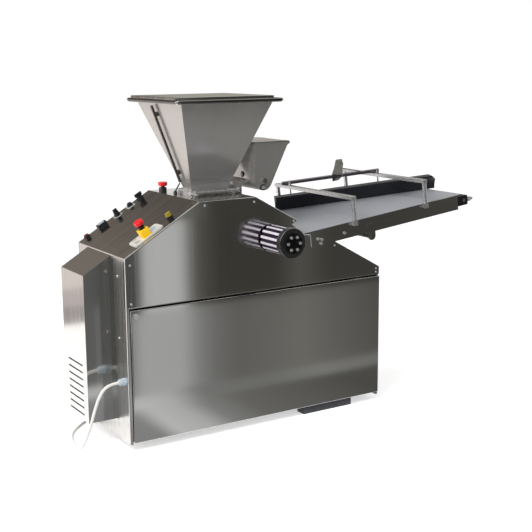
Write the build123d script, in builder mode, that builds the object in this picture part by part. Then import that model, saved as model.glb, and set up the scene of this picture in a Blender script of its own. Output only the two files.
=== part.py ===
import os
from math import acos, atan2, cos, pi, radians, sin, tan

from build123d import *

os.makedirs("parts", exist_ok=True)

# Sizes in millimetres. X runs from the control end to the conveyor end,
# Y from the operator's side to the far side, Z up from the floor.

# Housing
BODY_LENGTH = 1250.0
BODY_WIDTH = 470.0
FLOOR_GAP = 33.0
DOOR_TOP = 583.0
SEAM = 6.0
TAIL_HEIGHT = 792.0
HEAD_HEIGHT = 627.0
TOP_HEIGHT = 990.0
TOP_START = 334.0
TOP_END = 600.0
SHEET = 2.0
FOLD = 16.0
EDGE_R = 5.0
DOOR_PROUD = 3.0
DOOR_INSET = 17.0
DOOR_PIN_R = 4.0
RUN_FIT = 0.05
MOVE_GAP = 0.4

# Skids and inner frame
SKID_LENGTH = 262.0
SKID_WIDTH = 56.0
SKID_START = 146.0
SKID_INSET = 118.0
BAR = 40.0
POST = 30.0
FRAME_INSET = 24.0
BED_DROP = 257.0
CHAMBER_BED = TOP_HEIGHT - BED_DROP

# Vent box on the control end
VENT_DEPTH = 120.0
VENT_NEAR = 133.0
VENT_WIDTH = 233.0
VENT_LOW = 107.0
VENT_EDGE = 716.0
VENT_HIGH = 787.0
VENT_SHEET = 1.5
VENT_FLANGE = 22.0
SLOTS = 8
SLOT_LENGTH = 150.0
SLOT_HEIGHT = 7.0
SLOT_PITCH = 29.7
SLOT_FIRST = 132.0

# Electrics box inside the control end
ELECTRICS_SIDE = 95.0
ELECTRICS_HEIGHT = 380.0
ELECTRICS_DEPTH = 150.0
ELECTRICS_Z = 340.0

# Hopper
HOPPER_X = 492.0
HOPPER_SHEET = 2.0
NECK_X = 176.0
NECK_Y = 72.0
NECK_RISE = 24.0
RIM_X = 427.0
RIM_Y = 402.0
RIM_RISE = 387.0
RIM_LEDGE = 30.0
COLLAR = 22.0
ROD_R = 7.0
FLANGE_X = 207.0
FLANGE_Y = 130.0
FLANGE_T = 8.0
HINGE_DROP = 12.0
HINGE_PIN_R = 5.0
HINGE_BOSS_R = 9.0
HINGE_SPREAD = 120.0
LID_SKIRT = 10.0
LID_GAP = 1.2
LID_OVER = 24.0
LID_KNUCKLES = (-130.0, 130.0)
CLAMP_R = 6.0
CLAMP_OUT = 11.0
CLAMP_KNOB_R = 12.0
CLAMP_LEVER = 62.0
CONDUIT_OFF = 12.0
CONDUIT_R = 6.0
CONDUIT_Y_TOP = 284.0
CONDUIT_Y_LOW = 256.0

# Divider drum, chamber and ram
DRUM_X = 669.0
DRUM_DROP = 178.0
DRUM_Z = TOP_HEIGHT - DRUM_DROP
DRUM_R = 85.0
DRUM_WIDTH = 160.0
POCKET_R = 28.0
POCKET_DEPTH = 42.0
SHAFT_R = 20.0
CHEEK = 12.0
CHAMBER_START = 235.0
CHAMBER_END = 640.0
CHAMBER_WIDTH = 170.0
BORE_WIDTH = 110.0
BORE_HEIGHT = 90.0
BORE_RISE = 30.0
BORE_Z = CHAMBER_BED + BORE_RISE
THROAT_X = 144.0
THROAT_Y = 60.0
PISTON_LENGTH = 170.0
PISTON_FACE = 415.0
RAM_STROKE = 155.0
RAM_ROD_R = 12.0
RAM_R = 26.0
RAM_START = 112.0
RAM_WALL = 20.0

# Chain drive
MOTOR_Z = 253.0
MOTOR_R = 75.0
MOTOR_LENGTH = 210.0
SPROCKET_T = 10.0
SPROCKET_Y = 395.0
CHAIN_PITCH = 19.05
DRUM_TEETH = 24
MOTOR_TEETH = 14
CHAIN_T = 9.0
MOTOR_SHAFT_R = 14.0

# Portion handwheel
WHEEL_R = 57.0
WHEEL_FLANGE_R = 63.0
WHEEL_START = 10.0
WHEEL_BARREL = 130.0
WHEEL_FLANGE = 28.0
WHEEL_CAP = 10.0
WHEEL_CAP_R = 41.0
WHEEL_BOLT = 5.0
WHEEL_FLUTES = 14
FLUTE_R = 7.5
SPINDLE_R = 15.0
BUSH_R = 22.0
BUSH_FLANGE_R = 36.0

# Flour duster
DUST_X = 664.0
DUST_RISE = 212.0
DUST_WIDTH = 170.0
DUST_R = 42.0
DUST_ARC_RISE = 50.0
DUST_NEAR = 110.0
DUST_LENGTH = 248.0
DUST_SHEET = 2.0
DUST_END = 3.0
DUST_SLOT = 24.0
DUST_ROLL_R = 36.0
DUST_SHAFT_R = 6.0
DUST_BRACKET = 5.0
DUST_ARM_RISE = 40.0
DUST_HINGE_DROP = 2.5
DUST_ARM_WIDTH = 168.0

# Conveyor. The belt climbs away from the housing.
BELT_X = 832.0
BELT_Z = 809.0
BELT_RISE = 6.62
BELT_T = 2.5
ROLLER_R = 24.0
ROLLER_SHAFT_R = 10.0
ROLLER_FIRST = -14.0
ROLLER_LAST = 922.0
BELT_NEAR = 20.0
CONV_INNER = 578.0
PLATE_T = 4.0
PLATE_LIP = 5.0
PLATE_DEPTH = 68.0
PLATE_START = 38.0
PLATE_END = 878.0
PORTAL_1 = 268.0
PORTAL_2 = 673.0
PORTAL_RISE = 118.0
PORTAL_POST_R = 10.0
PORTAL_FOOT = 20.0
CROSSBAR_W = 24.0
CROSSBAR_T = 14.0
CROSS_TUBE = 360.0
CROSS_TUBE_R = 17.0
TENSION_LENGTH = 64.0
TENSION_BOLT_R = 7.0
TENSION_BOLT = 33.0
TENSION_NUT_R = 11.5
TENSION_NUT = 18.0

# Rounding bar, set across the belt
BAR_ANGLE = -21.0
BAR_MID_X = 1406.0
BAR_MID_Y = 386.0
BAR_LENGTH = 800.0
BAR_BACK = 14.0
BAR_LIP = 40.0
BAR_HEIGHT = 70.0
BAR_LIFT = 2.0
HANGER_IN = 20.0
TIE_R = 9.0
TIE_OFF = 10.0
HANGER_R = 4.0
BAR_TRAVEL = 15.0
LEVER_PLACE = -80.0
LEVER_T = 5.0
LINK_R = 2.2
LINK_REACH = 125.0

# Controls, placed by the distance up the control slope and across it
ESTOP_R = 20.0
ESTOP_STROKE = 6.0
ESTOP_HEAD = 17.0
ESTOP_STEM_R = 9.0
ESTOP_COLLAR = 13.0
ESTOP_COLLAR_R = 13.0
BUTTON_STROKE = 4.0
CONTROL_GAP = 0.4
BEZEL_H = 10.0
LEGEND_U = 143.0
LEGEND_Y = 58.0
LEGEND_LENGTH = 142.0
LEGEND_WIDTH = 74.0
LEGEND_T = 4.0
ESTOP_U = 140.0
ESTOP_Y = 50.0
ESTOP_BOX = 40.0
ESTOP_BOX_H = 33.0
KEY_U = 258.0
KEY_Y = 36.0
FAR_ROW = 440.0
STOP_U = 38.0
METER_U = 120.0
METER_LENGTH = 46.0
METER_WIDTH = 26.0
METER_H = 18.0
SPEED_U = 202.0
START_U = 272.0
MODE_U = 324.0
MODE_IN = 12.0
FAR_STOP_X = 372.0
FAR_STOP_Y = 402.0
FAR_BASE = 16.0
FAR_BASE_R = 17.0

# Power cord, coil and plug
CORD_R = 6.0
GLAND_Y = 30.0
GLAND_Z = 291.0
GLAND_LENGTH = 32.0
COIL_STEP = 12.6
COIL_OUT = 86.9
COIL_X = 120.0
COIL_Y = 565.0
STRAP = 1.6
STRAP_WIDTH = 16.0
PLUG_LENGTH = 95.0
COIL_LEAD = 64.0

# Derived places. The origin lies under the middle of the machine, cord aside.
wheel_reach = WHEEL_START + WHEEL_BARREL + WHEEL_FLANGE + WHEEL_CAP + WHEEL_BOLT
rise = radians(BELT_RISE)
tension_reach = PLATE_END + TENSION_LENGTH + TENSION_BOLT
loop_r = ROLLER_R + MOVE_GAP
roller_n = -BELT_T - loop_r
conv_reach = BELT_X + tension_reach * cos(rise) + (TENSION_BOLT_R - roller_n) * sin(rise)
coil_low = STRAP + MOVE_GAP + CORD_R
coil_high = coil_low + COIL_STEP
far_reach = CONV_INNER + PLATE_T + PORTAL_FOOT
X0 = -(conv_reach - VENT_DEPTH) / 2
Y0 = -(far_reach - wheel_reach) / 2
Y_MID = Y0 + BODY_WIDTH / 2
Y_FAR = Y0 + BODY_WIDTH
head_slope = (HEAD_HEIGHT - TOP_HEIGHT) / (BODY_LENGTH - TOP_END)
tail_slope = (TOP_HEIGHT - TAIL_HEIGHT) / TOP_START
tail_angle = atan2(TOP_HEIGHT - TAIL_HEIGHT, TOP_START)
neck_top = TOP_HEIGHT + NECK_RISE
rim_z = TOP_HEIGHT + RIM_RISE
dust_top = TOP_HEIGHT + DUST_RISE
dust_arc_z = TOP_HEIGHT + DUST_ARC_RISE
dust_arm_z = TOP_HEIGHT + DUST_ARM_RISE


def side(y):
    """Upright sketch plane: x along the machine, y up, facing the operator."""
    return Plane(origin=(X0, Y0 + y, 0), x_dir=(1, 0, 0), z_dir=(0, -1, 0))


def belt_side(y):
    """Sketch plane beside the belt: x along the belt, y square to it."""
    return Plane(
        origin=(X0 + BELT_X, Y0 + y, BELT_Z),
        x_dir=(cos(rise), 0, sin(rise)),
        z_dir=(0, -1, 0),
    )


def belt_top(height):
    """Sketch plane over the belt: x along the belt, y across it."""
    return Plane(
        origin=(
            X0 + BELT_X - height * sin(rise),
            Y0,
            BELT_Z + height * cos(rise),
        ),
        x_dir=(cos(rise), 0, sin(rise)),
        z_dir=(-sin(rise), 0, cos(rise)),
    )


def control_face(height):
    """Sketch plane over the control slope: x up the slope, y across."""
    return Plane(
        origin=(
            X0 - height * sin(tail_angle),
            Y0,
            TAIL_HEIGHT + height * cos(tail_angle),
        ),
        x_dir=(cos(tail_angle), 0, sin(tail_angle)),
        z_dir=(-sin(tail_angle), 0, cos(tail_angle)),
    )


def slope_z(x):
    """Height of the conveyor-end slope above the floor."""
    return TOP_HEIGHT + head_slope * (x - TOP_END)


def along_belt(x):
    """Distance along the belt of a place given from the control end."""
    return (x - BELT_X) / cos(rise)


def save(piece, name):
    piece.part.label = name
    export_step(piece.part, f"parts/{name}.step")


# Inner frame: a base ring, cross bars, posts and two rails under the chamber
frame_x1 = SHEET
frame_x2 = BODY_LENGTH - SHEET
frame_y2 = BODY_WIDTH - FRAME_INSET
frame_span = frame_y2 - FRAME_INSET
ring_top = FLOOR_GAP + BAR
rail_x = (300.0, 560.0)
post_tops = (
    (frame_x1, TAIL_HEIGHT - POST),
    (rail_x[0], TAIL_HEIGHT + tail_slope * rail_x[0] - POST),
    (rail_x[1], TOP_HEIGHT - SHEET),
    (frame_x2 - POST, HEAD_HEIGHT - POST),
)
motor_bars = (DRUM_X - 105, DRUM_X + 65)
skid_bar = SKID_START + SKID_LENGTH / 2 - BAR / 2
pin_x = BODY_LENGTH - 10
pin_y = 5.0
lug_low = FLOOR_GAP - 6
with BuildPart() as base_frame:
    with BuildSketch(Plane.XY.offset(FLOOR_GAP)):
        with Locations((X0 + BODY_LENGTH / 2, Y_MID)):
            Rectangle(frame_x2 - frame_x1, frame_span)
            Rectangle(frame_x2 - frame_x1 - 2 * BAR, frame_span - 2 * BAR, mode=Mode.SUBTRACT)
        for x in (skid_bar, *motor_bars):
            with Locations((X0 + x + BAR / 2, Y_MID)):
                Rectangle(BAR, frame_span)
    extrude(amount=BAR)
    for x, top in post_tops:
        with BuildSketch(Plane.XY.offset(ring_top)):
            with Locations((X0 + x + POST / 2, Y_MID)):
                with GridLocations(0.01, frame_span - POST, 1, 2):
                    Rectangle(POST, POST)
        extrude(amount=top - ring_top)
    for x in rail_x:
        with BuildSketch(Plane.XY.offset(CHAMBER_BED - BAR)):
            with Locations((X0 + x + POST / 2, Y_MID)):
                Rectangle(POST, frame_span - 2 * POST)
        extrude(amount=BAR)
    with BuildSketch(Plane.XY.offset(lug_low)):
        with Locations((X0 + pin_x, Y0 + FRAME_INSET)):
            SlotCenterToCenter(2 * (FRAME_INSET - pin_y), 16, rotation=90)
    extrude(amount=FLOOR_GAP - lug_low)
    with BuildSketch(Plane.XY.offset(FLOOR_GAP)):
        with Locations((X0 + pin_x, Y0 + pin_y)):
            Circle(DOOR_PIN_R)
    extrude(amount=14)
save(base_frame, "base_frame")

# Skids under the frame; the pair at the control end stands further in
skid_mid = SKID_START + SKID_LENGTH / 2
with BuildPart() as skid_feet:
    with BuildSketch(Plane.XY):
        for x, inset in ((skid_mid, SKID_INSET), (BODY_LENGTH - skid_mid, FOLD / 2)):
            with Locations((X0 + x, Y_MID)):
                with GridLocations(1, BODY_WIDTH - SKID_WIDTH - 2 * inset, 1, 2):
                    RectangleRounded(SKID_LENGTH, SKID_WIDTH, EDGE_R)
    extrude(amount=FLOOR_GAP)
save(skid_feet, "skid_feet")

# Side panels are trays: a face sheet with its edge folded inwards all round
notch_tip = TOP_END + 208
notch_end = BELT_X + 103
near_outline = [
    (0, DOOR_TOP + SEAM),
    (0, TAIL_HEIGHT),
    (TOP_START, TOP_HEIGHT),
    (TOP_END, TOP_HEIGHT),
    (notch_tip, slope_z(notch_tip)),
    (notch_tip - 28, slope_z(notch_tip) - 15),
    (BELT_X + 10, BELT_Z),
    (notch_end, slope_z(notch_end)),
    (BODY_LENGTH, HEAD_HEIGHT),
    (BODY_LENGTH, DOOR_TOP + SEAM),
]
with BuildPart() as near_upper_panel:
    with BuildSketch(side(FOLD)):
        with BuildLine():
            Polyline(*near_outline, close=True)
        make_face()
    extrude(amount=FOLD)
    front = near_upper_panel.faces().sort_by(Axis.Y)[0]
    fillet(front.edges(), EDGE_R)
    with BuildSketch(side(FOLD)) as near_inner:
        with BuildLine():
            Polyline(*near_outline, close=True)
        make_face()
        offset(amount=-SHEET, kind=Kind.INTERSECTION, mode=Mode.REPLACE)
    extrude(amount=FOLD - SHEET, mode=Mode.SUBTRACT)
    with BuildSketch(side(FOLD)):
        with Locations((DRUM_X, DRUM_Z)):
            Circle(BUSH_R + RUN_FIT)
    extrude(amount=FOLD, mode=Mode.SUBTRACT)
    with BuildSketch(Plane.XY.offset(DOOR_TOP + SEAM)):
        with Locations((X0 + pin_x, Y0 + pin_y)):
            Circle(DOOR_PIN_R)
    extrude(amount=-SEAM - 8)
    with BuildSketch(belt_side(SHEET + 14)):
        with Locations((ROLLER_FIRST, roller_n)):
            Circle(22)
            Circle(ROLLER_SHAFT_R + RUN_FIT, mode=Mode.SUBTRACT)
    extrude(amount=14)
save(near_upper_panel, "near_upper_panel")

belt_low = 2 * ROLLER_R + 2 * BELT_T + 5
gate = notch_tip - 24
far_outline = [
    (0, FLOOR_GAP),
    (0, TAIL_HEIGHT),
    (TOP_START, TOP_HEIGHT),
    (TOP_END, TOP_HEIGHT),
    (gate, slope_z(gate)),
    (gate, BELT_Z - belt_low - 8),
    (notch_end + 55, slope_z(notch_end + 55)),
    (BODY_LENGTH, HEAD_HEIGHT),
    (BODY_LENGTH, FLOOR_GAP),
]
with BuildPart() as far_panel:
    with BuildSketch(side(BODY_WIDTH)):
        with BuildLine():
            Polyline(*far_outline, close=True)
        make_face()
    extrude(amount=FOLD)
    back = far_panel.faces().sort_by(Axis.Y)[-1]
    fillet(back.edges(), EDGE_R)
    with BuildSketch(side(BODY_WIDTH - SHEET)):
        with BuildLine():
            Polyline(*far_outline, close=True)
        make_face()
        offset(amount=-SHEET, kind=Kind.INTERSECTION, mode=Mode.REPLACE)
    extrude(amount=FOLD - SHEET, mode=Mode.SUBTRACT)
save(far_panel, "far_panel")

# Cross panels lie flush between the folds of the two side trays
cross_width = BODY_WIDTH - 2 * FOLD
tail_drop = SHEET / cos(tail_angle)
head_drop = SHEET / cos(atan2(TOP_HEIGHT - HEAD_HEIGHT, BODY_LENGTH - TOP_END))
lower_start = notch_end + 60
with BuildPart() as top_covers:
    with BuildSketch(side(BODY_WIDTH - FOLD)):
        with BuildLine():
            Polyline(
                (0, TAIL_HEIGHT),
                (TOP_START, TOP_HEIGHT),
                (TOP_END, TOP_HEIGHT),
                (gate, slope_z(gate)),
                (gate, slope_z(gate) - head_drop),
                (TOP_END, TOP_HEIGHT - SHEET),
                (TOP_START, TOP_HEIGHT - SHEET),
                (0, TAIL_HEIGHT - tail_drop),
                close=True,
            )
        make_face()
    extrude(amount=cross_width)
    with BuildSketch(Plane.XY.offset(TOP_HEIGHT - 2 * SHEET)):
        with Locations((X0 + HOPPER_X, Y_MID)):
            Rectangle(THROAT_X, THROAT_Y)
    extrude(amount=3 * SHEET, mode=Mode.SUBTRACT)
save(top_covers, "top_covers")

with BuildPart() as lower_cover:
    with BuildSketch(side(BODY_WIDTH - FOLD)):
        with BuildLine():
            Polyline(
                (lower_start, slope_z(lower_start)),
                (BODY_LENGTH, HEAD_HEIGHT),
                (BODY_LENGTH, HEAD_HEIGHT - head_drop),
                (lower_start, slope_z(lower_start) - head_drop),
                close=True,
            )
        make_face()
    extrude(amount=cross_width)
save(lower_cover, "lower_cover")

# Control-end panel, with its near corner folded round beside the door
corner = DOOR_INSET - 4
with BuildPart() as end_panels:
    with BuildSketch(side(BODY_WIDTH - FOLD)):
        with Locations((0, FLOOR_GAP)):
            Rectangle(SHEET, TAIL_HEIGHT - tail_drop - FLOOR_GAP, align=(Align.MIN, Align.MIN))
    extrude(amount=cross_width)
    with BuildSketch(Plane.XY.offset(FLOOR_GAP)):
        with BuildLine():
            FilletPolyline((X0, Y0 + FOLD), (X0, Y0), (X0 + corner, Y0), radius=EDGE_R)
            offset(amount=-SHEET, side=Side.LEFT)
        make_face()
    extrude(amount=DOOR_TOP + SEAM - FLOOR_GAP)
    with BuildSketch(side(BODY_WIDTH - FOLD)):
        with Locations((BODY_LENGTH, FLOOR_GAP)):
            Rectangle(SHEET, HEAD_HEIGHT - 2 * head_drop - FLOOR_GAP, align=(Align.MAX, Align.MIN))
    extrude(amount=cross_width - 2)
save(end_panels, "end_panels")

# Side door: a tray like the panels, turning on two pins near its head edge
door_low = FLOOR_GAP + SHEET
with BuildPart() as side_door:
    with BuildSketch(side(FOLD - DOOR_PROUD)):
        with Locations((DOOR_INSET, door_low)):
            Rectangle(BODY_LENGTH - DOOR_INSET, DOOR_TOP - door_low, align=(Align.MIN, Align.MIN))
    extrude(amount=FOLD)
    front = side_door.faces().sort_by(Axis.Y)[0]
    fillet(front.edges(), EDGE_R)
    with BuildSketch(side(FOLD - DOOR_PROUD)):
        with Locations((DOOR_INSET + SHEET, door_low + SHEET)):
            Rectangle(
                BODY_LENGTH - DOOR_INSET - 2 * SHEET,
                DOOR_TOP - door_low - 2 * SHEET,
                align=(Align.MIN, Align.MIN),
            )
    extrude(amount=FOLD - SHEET, mode=Mode.SUBTRACT)
    with BuildSketch(Plane.XY.offset(FLOOR_GAP)):
        with Locations((X0 + pin_x, Y0 + pin_y)):
            Circle(DOOR_PIN_R + RUN_FIT)
    extrude(amount=DOOR_TOP, mode=Mode.SUBTRACT)
    with BuildSketch(side(FOLD - DOOR_PROUD)):
        with Locations((DOOR_INSET + 22, DOOR_TOP - 24)):
            Circle(8 + RUN_FIT)
    extrude(amount=FOLD, mode=Mode.SUBTRACT)
save(side_door, "side_door")

lock_x = DOOR_INSET + 22
lock_z = DOOR_TOP - 24
with BuildPart() as door_lock:
    with BuildSketch(side(-DOOR_PROUD - MOVE_GAP)):
        with Locations((lock_x, lock_z)):
            Circle(11)
    extrude(amount=4)
    with BuildSketch(side(-DOOR_PROUD - MOVE_GAP - 4)):
        with Locations((lock_x, lock_z)):
            SlotOverall(18, 4)
    extrude(amount=-1.5, mode=Mode.SUBTRACT)
    with BuildSketch(side(-DOOR_PROUD - MOVE_GAP)):
        with Locations((lock_x, lock_z)):
            Circle(8)
    extrude(amount=-(SHEET + 2 * MOVE_GAP))
    with BuildSketch(side(-DOOR_PROUD + SHEET + MOVE_GAP)):
        with Locations((lock_x - 5, lock_z)):
            SlotCenterToCenter(14, 14)
    extrude(amount=-4)
save(door_lock, "door_lock")

# Vent box with a row of slots and a flange down each side
with BuildPart() as vent_box:
    with BuildSketch(side(VENT_NEAR + VENT_WIDTH)):
        with BuildLine():
            Polyline(
                (0, VENT_LOW),
                (0, VENT_HIGH),
                (-VENT_DEPTH, VENT_EDGE),
                (-VENT_DEPTH, VENT_LOW),
                close=True,
            )
        make_face()
    extrude(amount=VENT_WIDTH)
    with BuildSketch(side(VENT_NEAR + VENT_WIDTH - VENT_SHEET)):
        with BuildLine():
            Polyline(
                (0, VENT_LOW + VENT_SHEET),
                (0, VENT_HIGH - 1.2 * VENT_SHEET),
                (-VENT_DEPTH + VENT_SHEET, VENT_EDGE - 0.6 * VENT_SHEET),
                (-VENT_DEPTH + VENT_SHEET, VENT_LOW + VENT_SHEET),
                close=True,
            )
        make_face()
    extrude(amount=VENT_WIDTH - 2 * VENT_SHEET, mode=Mode.SUBTRACT)
    for y in (VENT_NEAR, VENT_NEAR + VENT_WIDTH + VENT_FLANGE):
        with BuildSketch(side(y)):
            with Locations((0, VENT_LOW)):
                Rectangle(VENT_SHEET, VENT_HIGH - VENT_LOW - 12, align=(Align.MAX, Align.MIN))
        extrude(amount=VENT_FLANGE)
    slot_mid = SLOT_FIRST + SLOT_PITCH * (SLOTS - 1) / 2
    slot_plane = Plane(
        origin=(X0 - VENT_DEPTH, Y0 + VENT_NEAR + VENT_WIDTH / 2, slot_mid),
        x_dir=(0, -1, 0),
        z_dir=(-1, 0, 0),
    )
    with BuildSketch(slot_plane):
        with GridLocations(1, SLOT_PITCH, 1, SLOTS):
            SlotOverall(SLOT_LENGTH, SLOT_HEIGHT)
    extrude(amount=-2 * VENT_SHEET, mode=Mode.SUBTRACT)
save(vent_box, "vent_box")

# Electrics box inside the control end
electrics_width = BODY_WIDTH - 2 * ELECTRICS_SIDE
with BuildPart() as electrics_box:
    box_plane = Plane(origin=(X0 + SHEET, Y_MID, ELECTRICS_Z), x_dir=(0, 1, 0), z_dir=(1, 0, 0))
    with BuildSketch(box_plane):
        RectangleRounded(electrics_width, ELECTRICS_HEIGHT, 6)
    extrude(amount=ELECTRICS_DEPTH)
    with BuildSketch(box_plane.offset(ELECTRICS_DEPTH)):
        RectangleRounded(electrics_width - FOLD, ELECTRICS_HEIGHT - FOLD, 4)
    extrude(amount=4)
save(electrics_box, "electrics_box")

# Dough chamber: feed throat above, ram bore along, seat for the drum in front
with BuildPart() as dough_chamber:
    with BuildSketch(Plane.XY.offset(CHAMBER_BED)):
        with Locations((X0 + CHAMBER_START, Y_MID)):
            Rectangle(CHAMBER_END - CHAMBER_START, CHAMBER_WIDTH, align=(Align.MIN, Align.CENTER))
    extrude(amount=TOP_HEIGHT - SHEET - CHAMBER_BED)
    with BuildSketch(
        Plane(origin=(X0 + CHAMBER_START, Y_MID, BORE_Z), x_dir=(0, 1, 0), z_dir=(1, 0, 0))
    ):
        Rectangle(BORE_WIDTH, BORE_HEIGHT, align=(Align.CENTER, Align.MIN))
    extrude(amount=CHAMBER_END - CHAMBER_START, mode=Mode.SUBTRACT)
    with BuildSketch(Plane.XY.offset(BORE_Z + BORE_HEIGHT / 2)):
        with Locations((X0 + HOPPER_X, Y_MID)):
            Rectangle(THROAT_X, THROAT_Y)
    extrude(amount=TOP_HEIGHT - BORE_Z, mode=Mode.SUBTRACT)
    with BuildSketch(side(BODY_WIDTH / 2 + CHAMBER_WIDTH / 2)):
        with Locations((DRUM_X, DRUM_Z)):
            Circle(DRUM_R + 2 * MOVE_GAP)
    extrude(amount=CHAMBER_WIDTH, mode=Mode.SUBTRACT)
    with BuildSketch(side(BODY_WIDTH / 2 + CHAMBER_WIDTH / 2)):
        with Locations((CHAMBER_START, TOP_HEIGHT)):
            Rectangle(112, 105, align=(Align.MIN, Align.MAX))
        with Locations((CHAMBER_END, TOP_HEIGHT)):
            Rectangle(CHAMBER_END - TOP_END + 6, 60, align=(Align.MAX, Align.MAX))
    extrude(amount=CHAMBER_WIDTH, mode=Mode.SUBTRACT)
save(dough_chamber, "dough_chamber")

# Ram: piston with its rod, and the cylinder that drives it
bore_mid = BORE_Z + BORE_HEIGHT / 2
piston_back = PISTON_FACE - PISTON_LENGTH
barrel_end = PISTON_FACE - RAM_WALL - 5
rod_back = barrel_end - RAM_STROKE - 30
with BuildPart() as ram_piston:
    with BuildSketch(
        Plane(origin=(X0 + PISTON_FACE, Y_MID, bore_mid), x_dir=(0, 1, 0), z_dir=(-1, 0, 0))
    ):
        RectangleRounded(BORE_WIDTH - 2 * MOVE_GAP, BORE_HEIGHT - 2 * MOVE_GAP, 3)
    extrude(amount=PISTON_LENGTH)
    with BuildSketch(
        Plane(origin=(X0 + piston_back, Y_MID, bore_mid), x_dir=(0, 1, 0), z_dir=(1, 0, 0))
    ):
        Circle(RAM_R + 2 * MOVE_GAP)
    extrude(amount=PISTON_LENGTH - RAM_WALL, mode=Mode.SUBTRACT)
    with BuildSketch(
        Plane(origin=(X0 + PISTON_FACE - RAM_WALL, Y_MID, bore_mid), x_dir=(0, 1, 0), z_dir=(-1, 0, 0))
    ):
        Circle(RAM_ROD_R)
    extrude(amount=PISTON_FACE - RAM_WALL - rod_back)
save(ram_piston, "ram_piston")

with BuildPart() as ram_cylinder:
    with BuildSketch(Plane(origin=(X0 + RAM_START, Y_MID, bore_mid), x_dir=(0, 1, 0), z_dir=(1, 0, 0))):
        RectangleRounded(CHAMBER_WIDTH - 10, 2 * RAM_R + 18, 8)
    extrude(amount=14)
    with BuildSketch(Plane(origin=(X0 + RAM_START, Y_MID, bore_mid), x_dir=(0, 1, 0), z_dir=(1, 0, 0))):
        Circle(RAM_R)
    extrude(amount=barrel_end - RAM_START)
    with BuildSketch(Plane(origin=(X0 + RAM_START, Y_MID, bore_mid), x_dir=(0, 1, 0), z_dir=(1, 0, 0))):
        with GridLocations(CHAMBER_WIDTH - 32, 2 * RAM_R - 6, 2, 2):
            Circle(7)
    extrude(amount=CHAMBER_START - RAM_START)
    with BuildSketch(
        Plane(origin=(X0 + barrel_end, Y_MID, bore_mid), x_dir=(0, 1, 0), z_dir=(-1, 0, 0))
    ):
        Circle(RAM_ROD_R + RUN_FIT)
    extrude(amount=barrel_end - rod_back + 4, mode=Mode.SUBTRACT)
save(ram_cylinder, "ram_cylinder")

# Cheek plates carry the drum shaft on both sides of the chamber
cheek_near = BODY_WIDTH / 2 - CHAMBER_WIDTH / 2
cheek_far = BODY_WIDTH / 2 + CHAMBER_WIDTH / 2 + CHEEK
with BuildPart() as drum_cheeks:
    for y in (cheek_near, cheek_far):
        with BuildSketch(side(y)):
            with BuildLine():
                Polyline(
                    (CHAMBER_END - 70, CHAMBER_BED + 6),
                    (CHAMBER_END - 70, DRUM_Z + 90),
                    (DRUM_X, DRUM_Z + 90),
                    (DRUM_X + 70, DRUM_Z + 40),
                    (DRUM_X + 70, DRUM_Z - 40),
                    (DRUM_X + 30, CHAMBER_BED + 6),
                    close=True,
                )
            make_face()
            with Locations((DRUM_X, DRUM_Z)):
                Circle(SHAFT_R + RUN_FIT, mode=Mode.SUBTRACT)
        extrude(amount=CHEEK)
    for y, turn in ((cheek_near - CHEEK, 1), (cheek_far, -1)):
        with BuildSketch(side(y)):
            with Locations((DRUM_X, DRUM_Z)):
                Circle(SHAFT_R + 18)
                Circle(SHAFT_R + RUN_FIT, mode=Mode.SUBTRACT)
        extrude(amount=14 * turn)
save(drum_cheeks, "drum_cheeks")

# Divider drum with four measuring pockets, its shaft and the measuring pistons
drum_axis = Plane(origin=(X0 + DRUM_X, Y_MID, DRUM_Z), x_dir=(1, 0, 0), z_dir=(0, -1, 0))
with BuildPart() as divider_drum:
    with BuildSketch(drum_axis.offset(-DRUM_WIDTH / 2)):
        Circle(DRUM_R)
        Circle(SHAFT_R + RUN_FIT, mode=Mode.SUBTRACT)
    extrude(amount=DRUM_WIDTH)
    for quarter in range(4):
        way = Vector(cos(pi / 2 * quarter), 0, sin(pi / 2 * quarter))
        with BuildSketch(Plane(origin=drum_axis.origin + way * (DRUM_R - POCKET_DEPTH), z_dir=way)):
            Circle(POCKET_R)
        extrude(amount=POCKET_DEPTH + 5, mode=Mode.SUBTRACT)
save(divider_drum, "divider_drum")

with BuildPart() as measuring_pistons:
    for quarter in range(4):
        way = Vector(cos(pi / 2 * quarter), 0, sin(pi / 2 * quarter))
        with BuildSketch(Plane(origin=drum_axis.origin + way * (DRUM_R - POCKET_DEPTH), z_dir=way)):
            Circle(POCKET_R - MOVE_GAP)
        extrude(amount=16)
save(measuring_pistons, "measuring_pistons")

shaft_near = cheek_near - CHEEK - 24


# Chain drive from the gear motor to the drum
def pitch_radius(teeth):
    return CHAIN_PITCH / (2 * sin(pi / teeth))


def toothed(teeth, z):
    """Toothed disc whose tips stay under the chain."""
    with BuildSketch(side(SPROCKET_Y)) as disc:
        with Locations((DRUM_X, z)):
            Circle(pitch_radius(teeth) - CHAIN_T / 2 - MOVE_GAP)
            with PolarLocations(pitch_radius(teeth) + 2, teeth):
                Circle(CHAIN_PITCH * 0.38, mode=Mode.SUBTRACT)
    return disc.sketch


with BuildPart() as drum_shaft:
    with BuildSketch(side(shaft_near)):
        with Locations((DRUM_X, DRUM_Z)):
            Circle(SHAFT_R)
    extrude(amount=-(SPROCKET_Y + SPROCKET_T + 12 - shaft_near))
    extrude(toothed(DRUM_TEETH, DRUM_Z), amount=-SPROCKET_T)
save(drum_shaft, "drum_shaft")

with BuildPart() as motor_sprocket:
    with BuildSketch(side(SPROCKET_Y - 14 + MOVE_GAP)):
        with Locations((DRUM_X, MOTOR_Z)):
            Circle(MOTOR_SHAFT_R)
    extrude(amount=-(SPROCKET_T + 22))
    extrude(toothed(MOTOR_TEETH, MOTOR_Z), amount=-SPROCKET_T)
save(motor_sprocket, "motor_sprocket")

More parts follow.
